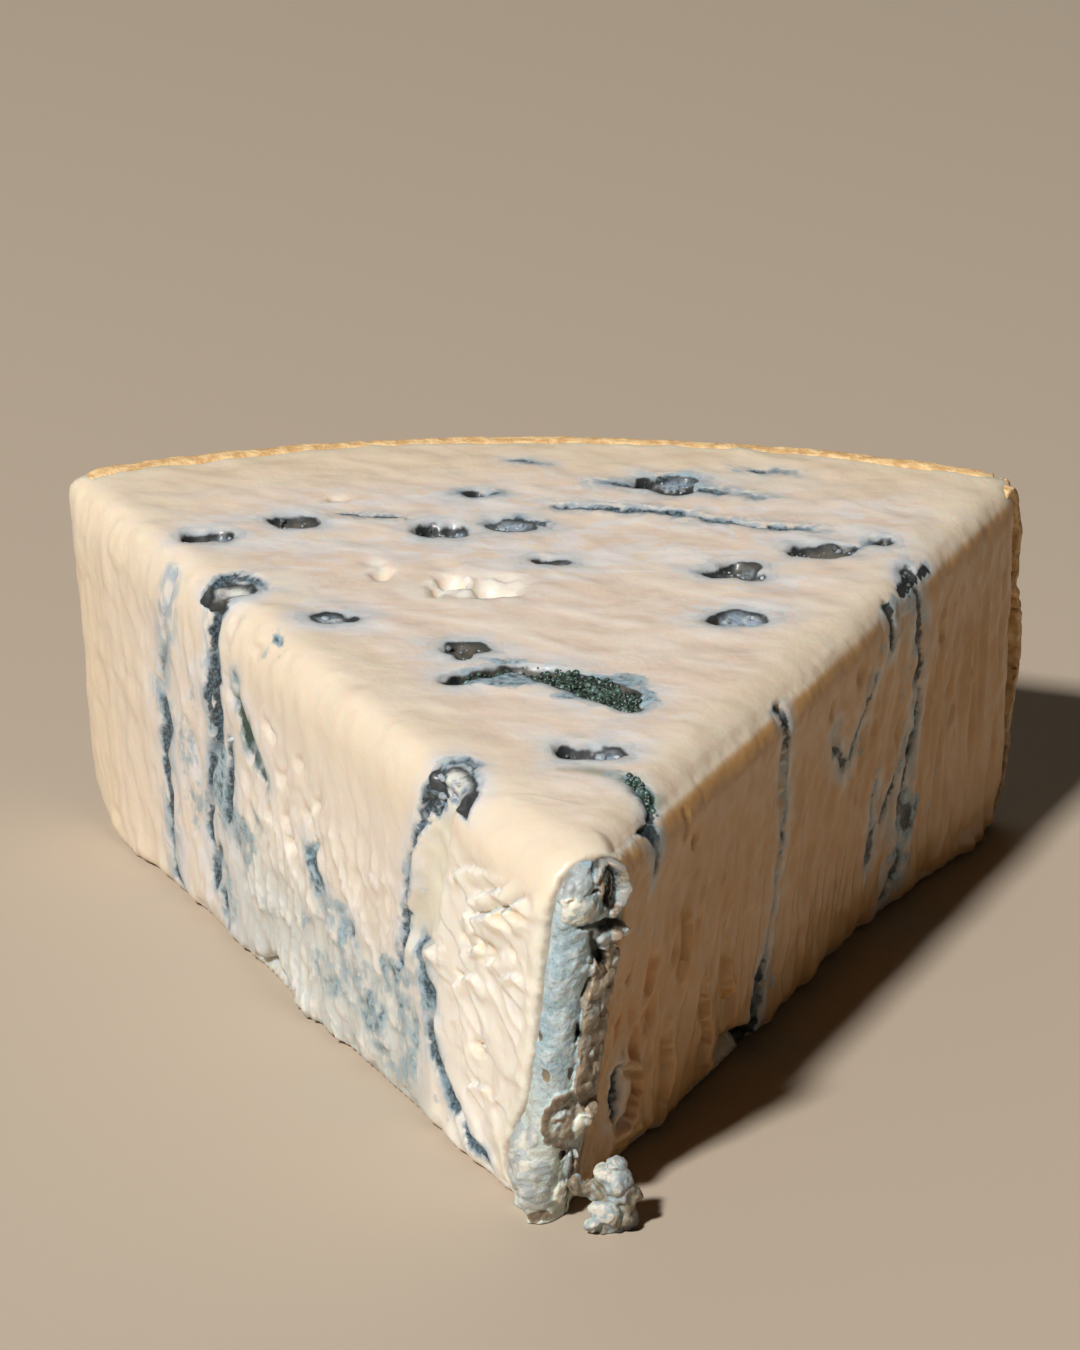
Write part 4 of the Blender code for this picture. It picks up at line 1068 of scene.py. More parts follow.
# Creases, torn holes and dents in the curd are painted ochre: painted shade in the hollows.
base = paste.mix(paste.math("MULTIPLY", paste.field("crease"), 0.14), base, srgb(232, 206, 162))
base = paste.mix(paste.math("MULTIPLY", paste.field("dent"), 0.55), base, srgb(226, 190, 130))
base = paste.mix(paste.math("MULTIPLY", paste.field("channel"), 0.6), base, srgb(216, 212, 186))
# The right cut, where it faces straight out, is tinted warm brown: painted shade.
base = paste.mix(paste.math("MULTIPLY", paste.field("painted_right_shade"), 0.88), base, srgb(197, 149, 84))
base = paste.mix(paste.math("MULTIPLY", paste.field("amber"), 0.62), base, srgb(206, 128, 44))
base = paste.mix(paste.math("MULTIPLY", paste.field("olive"), 0.8), base, srgb(150, 148, 120))

# A pale blue halo around every hole and line, then blue-green patches, then the dark mould itself.
ragged = paste.math("MULTIPLY", paste.math("SUBTRACT", fine, 0.5), 1.0)
soft_edge = paste.math("MULTIPLY", paste.math("SUBTRACT", patchy, 0.5), 1.0)
rim_edge = paste.math("ADD", paste.field("rim"), soft_edge)
line_edge = paste.math("ADD", paste.field("line"), paste.math("MULTIPLY", ragged, 1.1))
line_edge = paste.math("ADD", line_edge, paste.math("MULTIPLY", soft_edge, 0.5))
halo_edge = paste.math("ADD", paste.field("halo"), paste.math("MULTIPLY", soft_edge, 4.0))
halo = paste.math("MULTIPLY", paste.span(halo_edge, 4.5, 0.2), paste.span(blotch, 0.36, 0.56, 0.35, 0.8))
base = paste.mix(halo, base, srgb(208, 211, 212))
near_rim = paste.span(rim_edge, 0.9, 0.1, 0.0, 0.65)
base = paste.mix(near_rim, base, srgb(158, 172, 180))
haze = paste.math("MULTIPLY", paste.field("bloom"), paste.span(side_streak, 0.40, 0.60))
hazy = paste.mix(paste.field("greenish"), srgb(156, 174, 184), srgb(150, 166, 140))
base = paste.mix(paste.math("MULTIPLY", haze, 0.8), base, hazy)
stain = paste.math("ADD", paste.field("patch"), paste.math("MULTIPLY", paste.math("SUBTRACT", patchy, 0.5), 2.2))
stain = paste.math("ADD", stain, paste.math("MULTIPLY", paste.math("SUBTRACT", fine, 0.5), 1.6))
stain = paste.span(stain, 0.25, 1.10)
stain = paste.math("MULTIPLY", stain, paste.span(paste.field("patch"), 0.02, 0.35))
blue_green = paste.mix(paste.span(fine, 0.42, 0.60), srgb(92, 126, 142), srgb(152, 180, 192))
base = paste.mix(paste.math("MULTIPLY", stain, 0.88), base, blue_green)
flecks = paste.math("MULTIPLY", paste.span(stain, 0.45, 0.9), paste.span(fine, 0.44, 0.36))
base = paste.mix(paste.math("MULTIPLY", flecks, 0.8), base, srgb(52, 76, 84))
near_line = paste.math("MULTIPLY", paste.span(line_edge, 0.75, 0.0), paste.span(patchy, 0.60, 0.42, 0.15, 0.80))
near_line = paste.math("MULTIPLY", near_line, paste.span(paste.field("ink"), 0.0, 0.5))
# On the right cut the haze by the lines is fainter and a darker grey-blue: painted shade.
near_line = paste.math("MULTIPLY", near_line, paste.span(paste.field("painted_right_shade"), 0.0, 1.0, 1.0, 0.6))
base = paste.mix(near_line, base, paste.mix(paste.field("painted_right_shade"), srgb(116, 140, 154), srgb(92, 104, 104)))
dark = paste.mix(paste.span(grainy, 0.42, 0.60), srgb(40, 48, 54), srgb(92, 116, 128))
# On the right cut the cores of the lines are painted nearly black: painted shade.
dark = paste.mix(paste.math("MULTIPLY", paste.field("on_right"), 0.7), dark, srgb(22, 26, 28))
dark = paste.mix(paste.math("MULTIPLY", paste.field("greenish"), 0.8), dark, srgb(44, 64, 38))
core = paste.math("MULTIPLY", paste.span(line_edge, 0.18, -0.12), paste.span(paste.field("ink"), 0.15, 0.75))
base = paste.mix(paste.math("MULTIPLY", core, 0.94), base, dark)
# A thin grey-brown line on the paste along the strip's edge: painted shadow where the paste's lip meets the strip.
strip_edge_shadow = paste.span(paste.math("ADD", paste.field("strip"), paste.math("MULTIPLY", ragged, 0.5)), 0.30, -0.2, 0.0, 0.6)
base = paste.mix(strip_edge_shadow, base, srgb(150, 136, 116))
shade_here = paste.math("ADD", paste.field("floor_paleness"), paste.math("MULTIPLY", paste.math("SUBTRACT", patchy, 0.5), 0.9))
floor_colour = paste.mix(paste.span(shade_here, 0.05, 0.35), srgb(32, 36, 38), srgb(94, 90, 80))
floor_colour = paste.mix(paste.span(shade_here, 0.45, 0.75), floor_colour, srgb(146, 162, 176))
floor_colour = paste.mix(paste.span(shade_here, 0.80, 1.05), floor_colour, srgb(212, 214, 208))
floor_colour = paste.mix(paste.span(fine, 0.48, 0.38, 0.0, 0.5), floor_colour, srgb(52, 56, 56))
lining = paste.mix(paste.field("floor"), srgb(50, 54, 55), floor_colour)
base = paste.mix(paste.span(rim_edge, 0.15, -0.2), base, lining)

relief = paste.bump(streak, 0.08, 0.3)
relief = paste.bump(patchy, 0.26, 0.4, relief)
relief = paste.bump(fine, 0.08, 0.5, relief)
relief = paste.bump(grainy, 0.03, 0.5, relief)
gloss = paste.span(patchy, 0.3, 0.7, 0.28, 0.48)
gloss = paste.math("ADD", gloss, paste.span(rim_edge, 0.2, -0.4, 0.0, 0.14))
cheese_paste = paste.finish(
    Base_Color=base, Roughness=gloss, Normal=relief, Subsurface_Weight=0.6, Subsurface_Scale=0.003, Coat_Weight=0.2,
    Coat_Roughness=0.22,
)
paste.shader.inputs["Subsurface Radius"].default_value = (1.0, 0.55, 0.3)
body.data.materials.clear()
body.data.materials.append(cheese_paste)

# %% Give up faces that are not seen
make_active(body)
bpy.ops.object.mode_set(mode="EDIT")
unseen = select_in(
    body,
    "VERT",
    lambda v: v.co.z < 0.4 * MM and v.normal.z < -0.8 or Vector((v.co.x, v.co.y)).length > 119.2 * MM and v.co.z < 39 * MM,
)
bpy.ops.mesh.decimate(ratio=0.06)
bpy.ops.object.mode_set(mode="OBJECT")
triangles = sum(len(face.vertices) - 2 for face in body.data.polygons)
print("unseen points thinned:", unseen, "triangles now:", triangles)

# %% [markdown]
# The strip down the nose is the wall of an old needle channel that broke open. Its mould is a crust of
# its own, fine as velvet, so it is a sheet laid over the bed cut for it. Each row of the sheet starts
# from the bare nose, found by looking inward from outside it.


# %% Strip of mould on the nose
ROWS, COLUMNS = ((270, 92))


def bare_nose(turn, height):
    """The point of the bare nose at a turn about its axis and a height, and the way out of it."""
    angle = math.radians(turn)
    outward = Vector((-math.sin(angle), -math.cos(angle), 0))
    axis = Vector((NOSE_CENTRE.x, NOSE_CENTRE.y, max(height, 1.2)))
    place, _, _, _ = bare_skin.ray_cast((axis + outward * 25) * MM, -outward)
    return place / MM, outward


select_nothing()
bpy.ops.mesh.primitive_grid_add(x_subdivisions=COLUMNS, y_subdivisions=ROWS, size=1)
strip = bpy.context.object
strip.name = strip.data.name = "nose_mould"
flat_strip, _ = points_of(strip.data)
share = flat_strip[:, 0] * MM + 0.5
rise_share = flat_strip[:, 1] * MM + 0.5
strip_height = rise_share * 39.9
turns = np.interp(strip_height, strip_heights, strip_left)
turns += share * (np.interp(strip_height, strip_heights, strip_right) - turns)
found = [bare_nose(turn, z) for turn, z in zip(turns, strip_height)]
laid = np.array([place for place, _ in found])
laid[:, 2] = strip_height
outward = np.array([way for _, way in found])
arc = np.radians(turns) * 6.0
print("strip points:", len(laid), "widest, mm:", round(float(np.ptp(arc)), 1))

# %% Relief of the strip
strip_flat = np.stack([arc, strip_height], axis=1)
strip_wander = np.stack([rough(laid, 1.5, 111), rough(laid, 1.5, 112)], axis=1) * 0.3
wavy = strip_flat + strip_wander
edge = np.minimum(share, 1 - share) * np.abs(np.interp(strip_height, strip_heights, strip_left - strip_right)) * 0.105
edge = np.minimum(edge, (39.9 - strip_height) * 1.2)
# Lumps of the strip: arc round the nose, height, half width, half height, how proud, and a tone that
# runs from 0 for black through 0.25 dark brown, 0.5 beige and 0.75 grey to 1 for cream.
# Sunk lumps with a tone near 0 are hollows and gaps painted black: painted shadow.
STRIP_LUMPS = (
    (-3.4, 36.4, 1.4, 1.9, -1.20, 0.02), (-1.7, 37.2, 0.7, 1.3, 0.55, 0.45), (-1.9, 38.4, 0.6, 0.5, 0.42, 0.68),
    (-0.9, 37.0, 0.8, 0.3, -0.50, 0.05), (0.9, 37.9, 1.5, 1.3, 0.70, 0.74), (2.4, 37.4, 1.2, 1.3, 0.50, 0.66),
    (0.5, 35.5, 2.0, 1.6, 0.60, 0.88), (-2.7, 34.5, 0.9, 0.7, 0.30, 0.75), (-4.6, 34.2, 0.8, 0.7, 0.10, 0.30),
    (-3.4, 31.6, 1.9, 1.3, 0.90, 0.80), (-5.6, 31.2, 1.5, 1.4, 1.10, 0.50), (-7.6, 31.4, 1.0, 0.9, 1.30, 0.84),
    (-3.0, 29.3, 0.9, 0.8, -0.80, 0.02), (-6.2, 29.3, 1.0, 0.8, 0.30, 0.16), (-0.9, 28.7, 0.8, 0.7, 0.39, 0.68),
    (-1.2, 29.7, 0.5, 0.4, 0.40, 0.70), (-5.7, 28.4, 0.9, 0.6, 0.25, 0.68), (-2.6, 28.2, 0.7, 0.5, 0.18, 0.35),
    (-4.6, 26.8, 2.0, 1.0, 0.41, 0.47), (-2.4, 26.2, 1.8, 1.1, 0.41, 0.49), (-1.0, 25.1, 0.9, 1.1, 0.27, 0.56),
    (-2.2, 24.2, 1.5, 1.2, 0.34, 0.62), (-4.0, 24.8, 0.5, 1.4, 0.41, 0.84), (-6.0, 25.4, 1.4, 1.2, 0.36, 0.38),
    (-4.4, 23.1, 0.7, 0.5, -0.20, 0.14), (-1.6, 22.4, 1.3, 1.4, 0.27, 0.50), (0.3, 22.6, 0.5, 0.6, 0.19, 0.68),
    (-0.2, 21.3, 0.7, 0.4, -0.60, 0.03), (-1.8, 20.0, 1.1, 1.2, 0.27, 0.60), (-3.2, 21.8, 0.7, 0.6, 0.23, 0.68),
    (-5.2, 21.6, 1.6, 2.0, 0.36, 0.36), (-3.4, 19.2, 0.9, 1.2, 0.27, 0.44), (-0.1, 18.5, 0.9, 0.7, 0.23, 0.68),
    (-1.7, 17.4, 1.2, 1.6, 0.29, 0.47), (-2.8, 18.8, 0.6, 0.6, 0.22, 0.68), (-5.4, 17.4, 1.5, 2.4, 0.41, 0.38),
    (-3.6, 16.4, 0.9, 1.5, 0.27, 0.42), (0.5, 16.8, 0.4, 0.9, -0.30, 0.20), (0.2, 20.2, 0.5, 0.5, 0.24, 0.70),
    (-0.4, 11.3, 3.2, 2.1, 0.90, 0.52), (-2.2, 10.8, 1.6, 1.4, 0.60, 0.97), (-4.8, 11.4, 1.6, 2.2, 1.30, 0.42),
    (1.5, 12.5, 0.7, 0.5, 0.35, 0.78), (1.6, 11.1, 0.7, 0.6, 0.35, 0.78), (0.2, 12.6, 0.5, 0.3, 0.28, 0.68),
    (-7.2, 11.4, 1.4, 2.6, 0.90, 0.36), (1.0, 7.7, 0.8, 0.7, -0.70, 0.05), (-0.8, 6.3, 1.0, 2.0, 0.80, 0.74),
    (-2.7, 6.2, 1.0, 1.7, 0.80, 0.50), (-2.6, 7.4, 0.7, 0.6, 0.63, 0.68), (0.7, 3.1, 1.4, 1.5, 0.90, 1.00),
    (-1.2, 3.0, 0.9, 1.2, 0.30, 0.32), (-3.6, 2.4, 1.4, 1.8, -0.80, 0.02), (3.8, 0.7, 2.4, 0.7, -0.20, 0.30),
    (4.4, 6.4, 2.3, 1.8, 0.40, 0.84), (4.4, 3.4, 2.2, 1.6, 0.45, 0.80), (7.6, 5.2, 2.3, 2.1, 0.40, 0.82),
    (8.2, 8.6, 2.0, 1.6, 0.30, 0.80), (5.4, 9.6, 1.6, 1.2, 0.30, 0.86), (7.2, 2.0, 2.0, 1.3, 0.40, 0.78),
    (2.4, 5.2, 0.9, 0.9, 0.24, 0.78), (3.6, 17.0, 0.8, 0.9, -0.30, 0.40), (4.6, 21.0, 0.5, 0.5, -0.30, 0.30),
)
# The grey ring at the strip's head, its dark seams, and the smooth brown hook round the cream lump.
RING = ((-0.9, 38.2, 0.8), (-1.6, 39.2, 1.2), (-3.4, 39.5, 1.4), (-5.2, 38.6, 1.5), (-6.0, 36.6, 1.6), (-5.6, 34.8, 1.5), (-4.0, 33.9, 1.1))
STRIP_SEAMS = (
    ((-1.9, 38.3, 0.1), (-3.4, 38.6, 0.3), (-4.6, 37.9, 0.3), (-5.0, 36.4, 0.3), (-4.6, 35.2, 0.2)),
    ((-0.4, 38.9, 0.4), (-1.6, 39.9, 0.7), (-4.4, 40.1, 0.8), (-6.4, 38.9, 0.8), (-7.2, 36.4, 0.7), (-6.8, 34.4, 0.6)),
    ((0.8, 33.6, 0.2), (-0.2, 33.6, 0.5), (-1.4, 33.3, 0.5), (-2.6, 33.0, 0.9), (-4.8, 32.8, 0.9), (-7.2, 32.6, 0.6)),
    ((-0.7, 32.6, 0.3), (-1.0, 31.5, 0.6), (-1.8, 30.4, 0.8), (-2.6, 29.6, 1.1), (-3.6, 28.8, 0.7)),
    ((-1.2, 27.6, 0.2), (-0.3, 25.8, 0.2)), ((0.1, 22.6, 0.1), (-0.2, 21.4, 0.5), (0.2, 20.4, 0.1)),
)
HOOK = (
    (-4.4, 14.8, 1.0), (-2.4, 14.7, 1.2), (-0.6, 14.5, 1.3), (1.8, 14.1, 1.3), (3.0, 13.0, 1.2), (3.2, 11.6, 1.1),
    (2.8, 9.9, 1.0), (1.7, 8.9, 0.9), (0.3, 8.5, 0.8),
)
ridge_gap = from_route(wavy, ((-4.2, 27.4, 6.4), (-4.0, 24.0, 6.8), (-3.8, 20.0, 7.0), (-4.0, 15.4, 7.4)))
hook_gap = from_route(wavy, HOOK)
seam_gap = np.min([from_route(wavy, seam) for seam in STRIP_SEAMS], axis=0)
ring_gap = from_route(wavy, RING)
tone = 0.66 + 0.0 * arc
on_lump = 1 - ease(ridge_gap, -0.4, 0.3)
tone = np.where(on_lump > 0.5, 0.44, tone)
in_ring = 1 - ease(ring_gap, -0.5, 0.25)
strip_rise = -1.0 + 0.9 * ease(edge, 0.0, 0.9) + 0.75 * on_lump
strip_rise += 0.9 * np.sqrt(np.clip(-ring_gap / 0.7, 0, 1)) + 0.5 * ease(-arc, 3.0, 6.0) * in_ring
tone = tone + (0.60 - tone) * in_ring
on_lump = np.maximum(on_lump, in_ring)
ragged_strip = 0.42 * rough(laid, 1.5, 118)
for x, z, width, length, proud, shade in STRIP_LUMPS:
    reach = np.hypot((wavy[:, 0] - x) / width, (wavy[:, 1] - z) / length) + ragged_strip
    dome = np.clip(1 - reach**2, 0, 1) ** 0.7
    strip_rise += proud * dome
    covers = 1 - ease(reach, 0.85, 1.1)
    tone = tone + (shade - tone) * covers
    on_lump = np.maximum(on_lump, covers)
in_hook = 1 - ease(hook_gap, -0.35, 0.2)
strip_rise += 0.55 * in_hook
tone = tone + (0.30 - tone) * in_hook
on_lump = np.maximum(on_lump, in_hook)
chips, chip_tone = cells(laid, 0.9, 119)
strip_rise += 0.16 * rough(laid, 1.1, 114) + 0.06 * rough(laid, 0.45, 115)
strip_rise += on_lump * 0.12 * (0.5 - chips) - 0.55 * (1 - ease(seam_gap, -0.2, 0.45))
swelling = 1 - ease(from_spot(wavy, 7.0, 5.6, 9.0, 9.5), -3, 0.8)
strip_rise += 1.0 * swelling + 0.35 * swelling * rough(laid, 1.9, 116)
laid = settled(laid + outward * strip_rise[:, None])
laid[:, 2] = np.maximum(laid[:, 2], 0.02)
move_points(strip.data, laid)
for name, values in {
    "edge": edge, "seam": seam_gap, "tone": np.clip(tone + 0.16 * (chip_tone - 0.5) * on_lump, 0, 1),
    "on_lump": on_lump, "low": 1 - ease(strip_height, 6, 24),
}.items():
    set_field(strip.data, name, values)
make_active(strip)
bpy.ops.object.mode_set(mode="EDIT")
bpy.ops.mesh.select_all(action="SELECT")
bpy.ops.mesh.normals_make_consistent(inside=False)
bpy.ops.object.mode_set(mode="OBJECT")
if strip.data.polygons[len(strip.data.polygons) // 2].normal.y > 0:
    strip.data.flip_normals()
apply_modifier(strip, "SOLIDIFY", thickness=0.5 * MM, offset=-1)
print("strip faces:", len(strip.data.polygons))

# %% Mould
mould = Nodes("blue_mould")
speck = mould.noise(0.30, 4)
blotch = mould.noise(1.6, 3)
wide = mould.noise(5, 2)
mould_base = mould.mix(mould.span(blotch, 0.38, 0.64), srgb(157, 182, 192), srgb(191, 206, 208))
mould_base = mould.mix(mould.span(mould.field("low"), 0.2, 1.0, 0.0, 0.8), mould_base, srgb(208, 211, 198))
mould_base = mould.mix(mould.span(speck, 0.52, 0.72, 0.0, 0.45), mould_base, srgb(206, 212, 208))
mould_base = mould.mix(mould.span(speck, 0.44, 0.30, 0.0, 0.4), mould_base, srgb(104, 118, 112))
lump_colour = mould.mix(mould.span(mould.field("tone"), 0.0, 0.25), srgb(34, 35, 36), srgb(104, 88, 68))
lump_colour = mould.mix(mould.span(mould.field("tone"), 0.25, 0.5), lump_colour, srgb(160, 144, 120))
lump_colour = mould.mix(mould.span(mould.field("tone"), 0.5, 0.75), lump_colour, srgb(170, 180, 182))
lump_colour = mould.mix(mould.span(mould.field("tone"), 0.75, 1.0), lump_colour, srgb(232, 228, 210))
lump_colour = mould.mix(mould.span(blotch, 0.46, 0.36, 0.0, 0.35), lump_colour, srgb(110, 116, 116))
uneven = mould.math("MULTIPLY", mould.math("SUBTRACT", speck, 0.5), 0.9)
on_lump_here = mould.math("ADD", mould.field("on_lump"), mould.math("MULTIPLY", uneven, 0.5))
mould_base = mould.mix(mould.span(on_lump_here, 0.35, 0.65, 0.0, 0.95), mould_base, lump_colour)
seam_edge = mould.math("ADD", mould.field("seam"), mould.math("MULTIPLY", uneven, 0.6))
mould_base = mould.mix(mould.span(seam_edge, 0.28, -0.05, 0.0, 0.88), mould_base, srgb(44, 42, 38))
# The strip's mould turns grey-brown along its edges: painted shadow where it meets the paste.
border = mould.math("ADD", mould.field("edge"), uneven)
mould_base = mould.mix(mould.span(border, 0.35, 0.05, 0.0, 0.5), mould_base, srgb(140, 128, 108))
mould_relief = mould.bump(speck, 0.15, 0.7)
mould_relief = mould.bump(blotch, 0.3, 0.4, mould_relief)
wet = mould.span(mould.field("on_lump"), 0.3, 0.8, 0.55, 0.34)
mould_skin = mould.finish(
    Base_Color=mould_base, Roughness=wet, Normal=mould_relief, Subsurface_Weight=0.35, Subsurface_Scale=0.0015
)
strip.data.materials.append(mould_skin)

# %% [markdown]
# A crumb of the same mouldy paste has dropped off the nose's foot and lies against it. Crumbs are
# rounded clusters, so a few balls are merged by a voxel remesh and then roughened.

# %% Crumb at the foot
def chunk(name, place, size, seed):
    """A broken bit: a ball with flat sides struck off it at random."""
    piece = lumpy_ball(name, (0, 0, 0), (1, 1, 1), seed, 0.06, 4)
    places, _ = points_of(piece.data)
    reach = np.linalg.norm(places, axis=1)
    directions = places / reach[:, None]
    luck = np.random.default_rng(seed)
    for _ in range(8):
        side = luck.normal(size=3)
        facing = directions @ (side / np.linalg.norm(side))
        reach = np.where(facing > 0.2, np.minimum(reach, luck.uniform(0.50, 0.80) / np.maximum(facing, 0.2)), reach)
    move_points(piece.data, directions * reach[:, None] * size + np.array(place))
    return piece


# Place, size and tone of each bit, from the top of the crumb down, then the bridge to the nose.
CRUMB_BITS = (
    (1.2, -1.0, 6.9, 1.0, 0.80), (0.5, -1.1, 6.2, 1.3, 0.92), (1.5, -1.3, 5.2, 1.4, 0.85), (2.0, -1.1, 3.9, 1.3, 0.72),
    (3.0, -0.9, 3.9, 0.9, 0.55), (2.5, -1.0, 2.8, 1.1, 0.55), (0.4, -1.3, 3.3, 1.2, 0.66), (0.1, -1.9, 2.2, 1.5, 0.88),
    (-1.0, -2.1, 0.9, 1.1, 0.88), (0.2, -1.9, 0.8, 1.2, 0.86), (1.3, -1.6, 1.7, 1.2, 0.62), (2.2, -1.2, 1.5, 1.2, 0.52),
    (1.2, -0.9, 0.5, 1.2, 0.20), (2.6, -1.0, 0.9, 0.9, 0.50), (-0.7, -1.0, 4.2, 1.1, 0.50), (-1.7, -0.9, 4.3, 1.0, 0.45),
    (-2.6, -0.9, 4.8, 1.0, 0.48),
)
bits = [chunk(f"crumb_{index}", bit[:3], bit[3] * 1.16, 130 + index) for index, bit in enumerate(CRUMB_BITS)]
crumb = join("nose_crumb", bits)
apply_modifier(crumb, "REMESH", mode="VOXEL", voxel_size=0.13 * MM)
apply_modifier(crumb, "SMOOTH", factor=0.5, iterations=6)
crumb_points, crumb_normals = points_of(crumb.data)
crumb_rise = 0.42 * rough(crumb_points, 2.2, 142) + 0.12 * rough(crumb_points, 0.7, 143)
away = np.array([np.linalg.norm(crumb_points - bit[:3], axis=1) - bit[3] for bit in np.array(CRUMB_BITS)])
crumb_tone_and_shade = np.array(CRUMB_BITS)[away.argmin(axis=0), 4]
between = np.sort(away, axis=0)
crumb_seam = between[1] - between[0]
crumb_points = crumb_points + crumb_normals * crumb_rise[:, None]
crumb_points[:, 2] = np.maximum(crumb_points[:, 2], 0.0)
move_points(crumb.data, crumb_points)
# The crumb is painted darker low down and on its right side: painted shade under it and away from the lamp.
crumb_tone_and_shade = crumb_tone_and_shade - 0.30 * (1 - ease(crumb_points[:, 2], 0.3, 1.8)) - 0.20 * ease(crumb_points[:, 0], 1.2, 2.8)
set_field(crumb.data, "tone", crumb_tone_and_shade)
set_field(crumb.data, "seam", crumb_seam + 3 * ease(-crumb_rise, 0.2, 0.0))
print("crumb faces:", len(crumb.data.polygons))

crumb_nodes = Nodes("mouldy_crumb")
crumb_fine = crumb_nodes.noise(0.35, 3)
crumb_blotch = crumb_nodes.noise(1.2, 3)
crumb_mottle = crumb_nodes.math("MULTIPLY", crumb_nodes.math("SUBTRACT", crumb_blotch, 0.50), 1.3)
crumb_here = crumb_nodes.math("ADD", crumb_nodes.field("tone"), crumb_mottle)
crumb_base = crumb_nodes.mix(crumb_nodes.span(crumb_here, 0.1, 0.45), srgb(66, 66, 62), srgb(138, 128, 106))
crumb_base = crumb_nodes.mix(crumb_nodes.span(crumb_here, 0.45, 0.75), crumb_base, srgb(160, 174, 178))
crumb_base = crumb_nodes.mix(crumb_nodes.span(crumb_here, 0.75, 0.95), crumb_base, srgb(206, 206, 194))
crumb_base = crumb_nodes.mix(crumb_nodes.span(crumb_fine, 0.58, 0.7, 0.0, 0.4), crumb_base, srgb(100, 116, 122))
crumb.data.materials.append(
    crumb_nodes.finish(
        Base_Color=crumb_base, Roughness=0.5, Normal=crumb_nodes.bump(crumb_fine, 0.15, 0.6), Subsurface_Weight=0.45,
        Subsurface_Scale=0.0015,
    )
)

# %% [markdown]
# The rind is the wheel's outside: a thin, dry, pitted crust that bulges at mid height. It is a sheet
# wrapped on the heel's profile, cut by the same two planes as the paste, and then given a thickness.

# %% Rind
RIND_STEPS, RIND_ROWS = ((300, 140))
RIM_ROUNDING = 2.0


def heel_profile(share):
    """Radius and height on the heel, from the top's edge (0), over the rim and down to the base (1)."""
    top_run, wall, foot = 1.9, HEEL_HEIGHT - RIM_ROUNDING - FOOT_ROUNDING, FOOT_ROUNDING * math.pi / 2
    rim_arc = RIM_ROUNDING * math.pi / 2
    way = share * (top_run + rim_arc + wall + foot)
    radius = np.where(way < top_run, WHEEL_RADIUS - RIM_ROUNDING - top_run + way, WHEEL_RADIUS)
    level = np.full_like(way, HEEL_HEIGHT)
    angle = np.clip((way - top_run) / RIM_ROUNDING, 0, math.pi / 2)
    radius = np.where(way >= top_run, WHEEL_RADIUS - RIM_ROUNDING * (1 - np.sin(angle)), radius)
    level = level - RIM_ROUNDING * (1 - np.cos(angle))
    level = level - np.clip(way - top_run - rim_arc, 0, wall)
    low = np.clip((way - top_run - rim_arc - wall) / FOOT_ROUNDING, 0, math.pi / 2)
    radius = radius - FOOT_ROUNDING * (1 - np.cos(low))
    return radius, level - FOOT_ROUNDING * np.sin(low)


select_nothing()
bpy.ops.mesh.primitive_grid_add(x_subdivisions=RIND_STEPS, y_subdivisions=RIND_ROWS, size=1)
rind = bpy.context.object
rind.name = rind.data.name = "cheese_rind"
flat_rind, _ = points_of(rind.data)
around_share = flat_rind[:, 0] * MM + 0.5
down_share = flat_rind[:, 1] * MM + 0.5
rind_angle = np.radians(-29.5 + 60 * around_share)
rind_radius, rind_level = heel_profile(down_share)
way_out = np.stack([np.sin(rind_angle), np.cos(rind_angle), 0 * rind_angle], axis=1)
rind_points = way_out * rind_radius[:, None]
rind_points[:, 2] = rind_level
outness = np.clip((rind_radius - 108) / 12, 0, 1)
rind_rough = 0.24 * rough(rind_points, 3.2, 151, 4) + 0.16 * rough(rind_points, 1.1, 152)
_, pebble = cells(rind_points, 1.3, 153)
creases = ease(np.abs(rough(rind_points, (9, 9, 5), 154)), 0.0, 0.16)
proud = 0.35 + 1.0 * around(rind_level, 22, 16) + rind_rough + 0.12 * pebble - 0.35 * (1 - creases)
proud = np.maximum(proud, 0.18)
lip = around(rind_angle, math.radians(26.0), math.radians(3.2))
proud += 1.7 * lip * around(rind_level, 21, 11) + 0.9 * lip * around(rind_level, 36, 5) - 1.2 * lip * around(rind_level, 29, 1.6)
proud *= (0.25 + 0.75 * ease(down_share, 0.02, 0.14)) * ease(down_share, 0.0, 0.03) * ease(1 - down_share, 0.0, 0.05)
proud -= 0.5 * (1 - ease(down_share, 0.0, 0.018)) + 0.8 * (1 - ease(1 - down_share, 0.0, 0.06))
normal_out = np.stack([way_out[:, 0], way_out[:, 1], 0 * rind_angle], axis=1)
lifted = np.clip((rind_level - (HEEL_HEIGHT - RIM_ROUNDING)) / RIM_ROUNDING, 0, 1)
normal_out = normal_out * np.sqrt(1 - lifted**2)[:, None]
normal_out[:, 2] = lifted
rind_points += normal_out * proud[:, None]
move_points(rind.data, rind_points)
set_field(rind.data, "crease", 1 - creases)
set_field(rind.data, "upper", np.maximum(ease(rind_level, 37.5, 41.5), 0.75 * ease(lip, 0.2, 0.8) * ease(rind_level, 8, 20)))
make_active(rind)
bpy.ops.object.mode_set(mode="EDIT")
cut_off(LEFT[0] + LEFT[2] * -3.2, LEFT[2])
cut_off(RIGHT[0] + RIGHT[2] * -0.7, RIGHT[2])
bpy.ops.mesh.select_all(action="SELECT")
bpy.ops.mesh.normals_make_consistent(inside=False)
bpy.ops.object.mode_set(mode="OBJECT")
rind_points, rind_normals = points_of(rind.data)
if (rind_normals * rind_points).sum() < 0:
    rind.data.flip_normals()
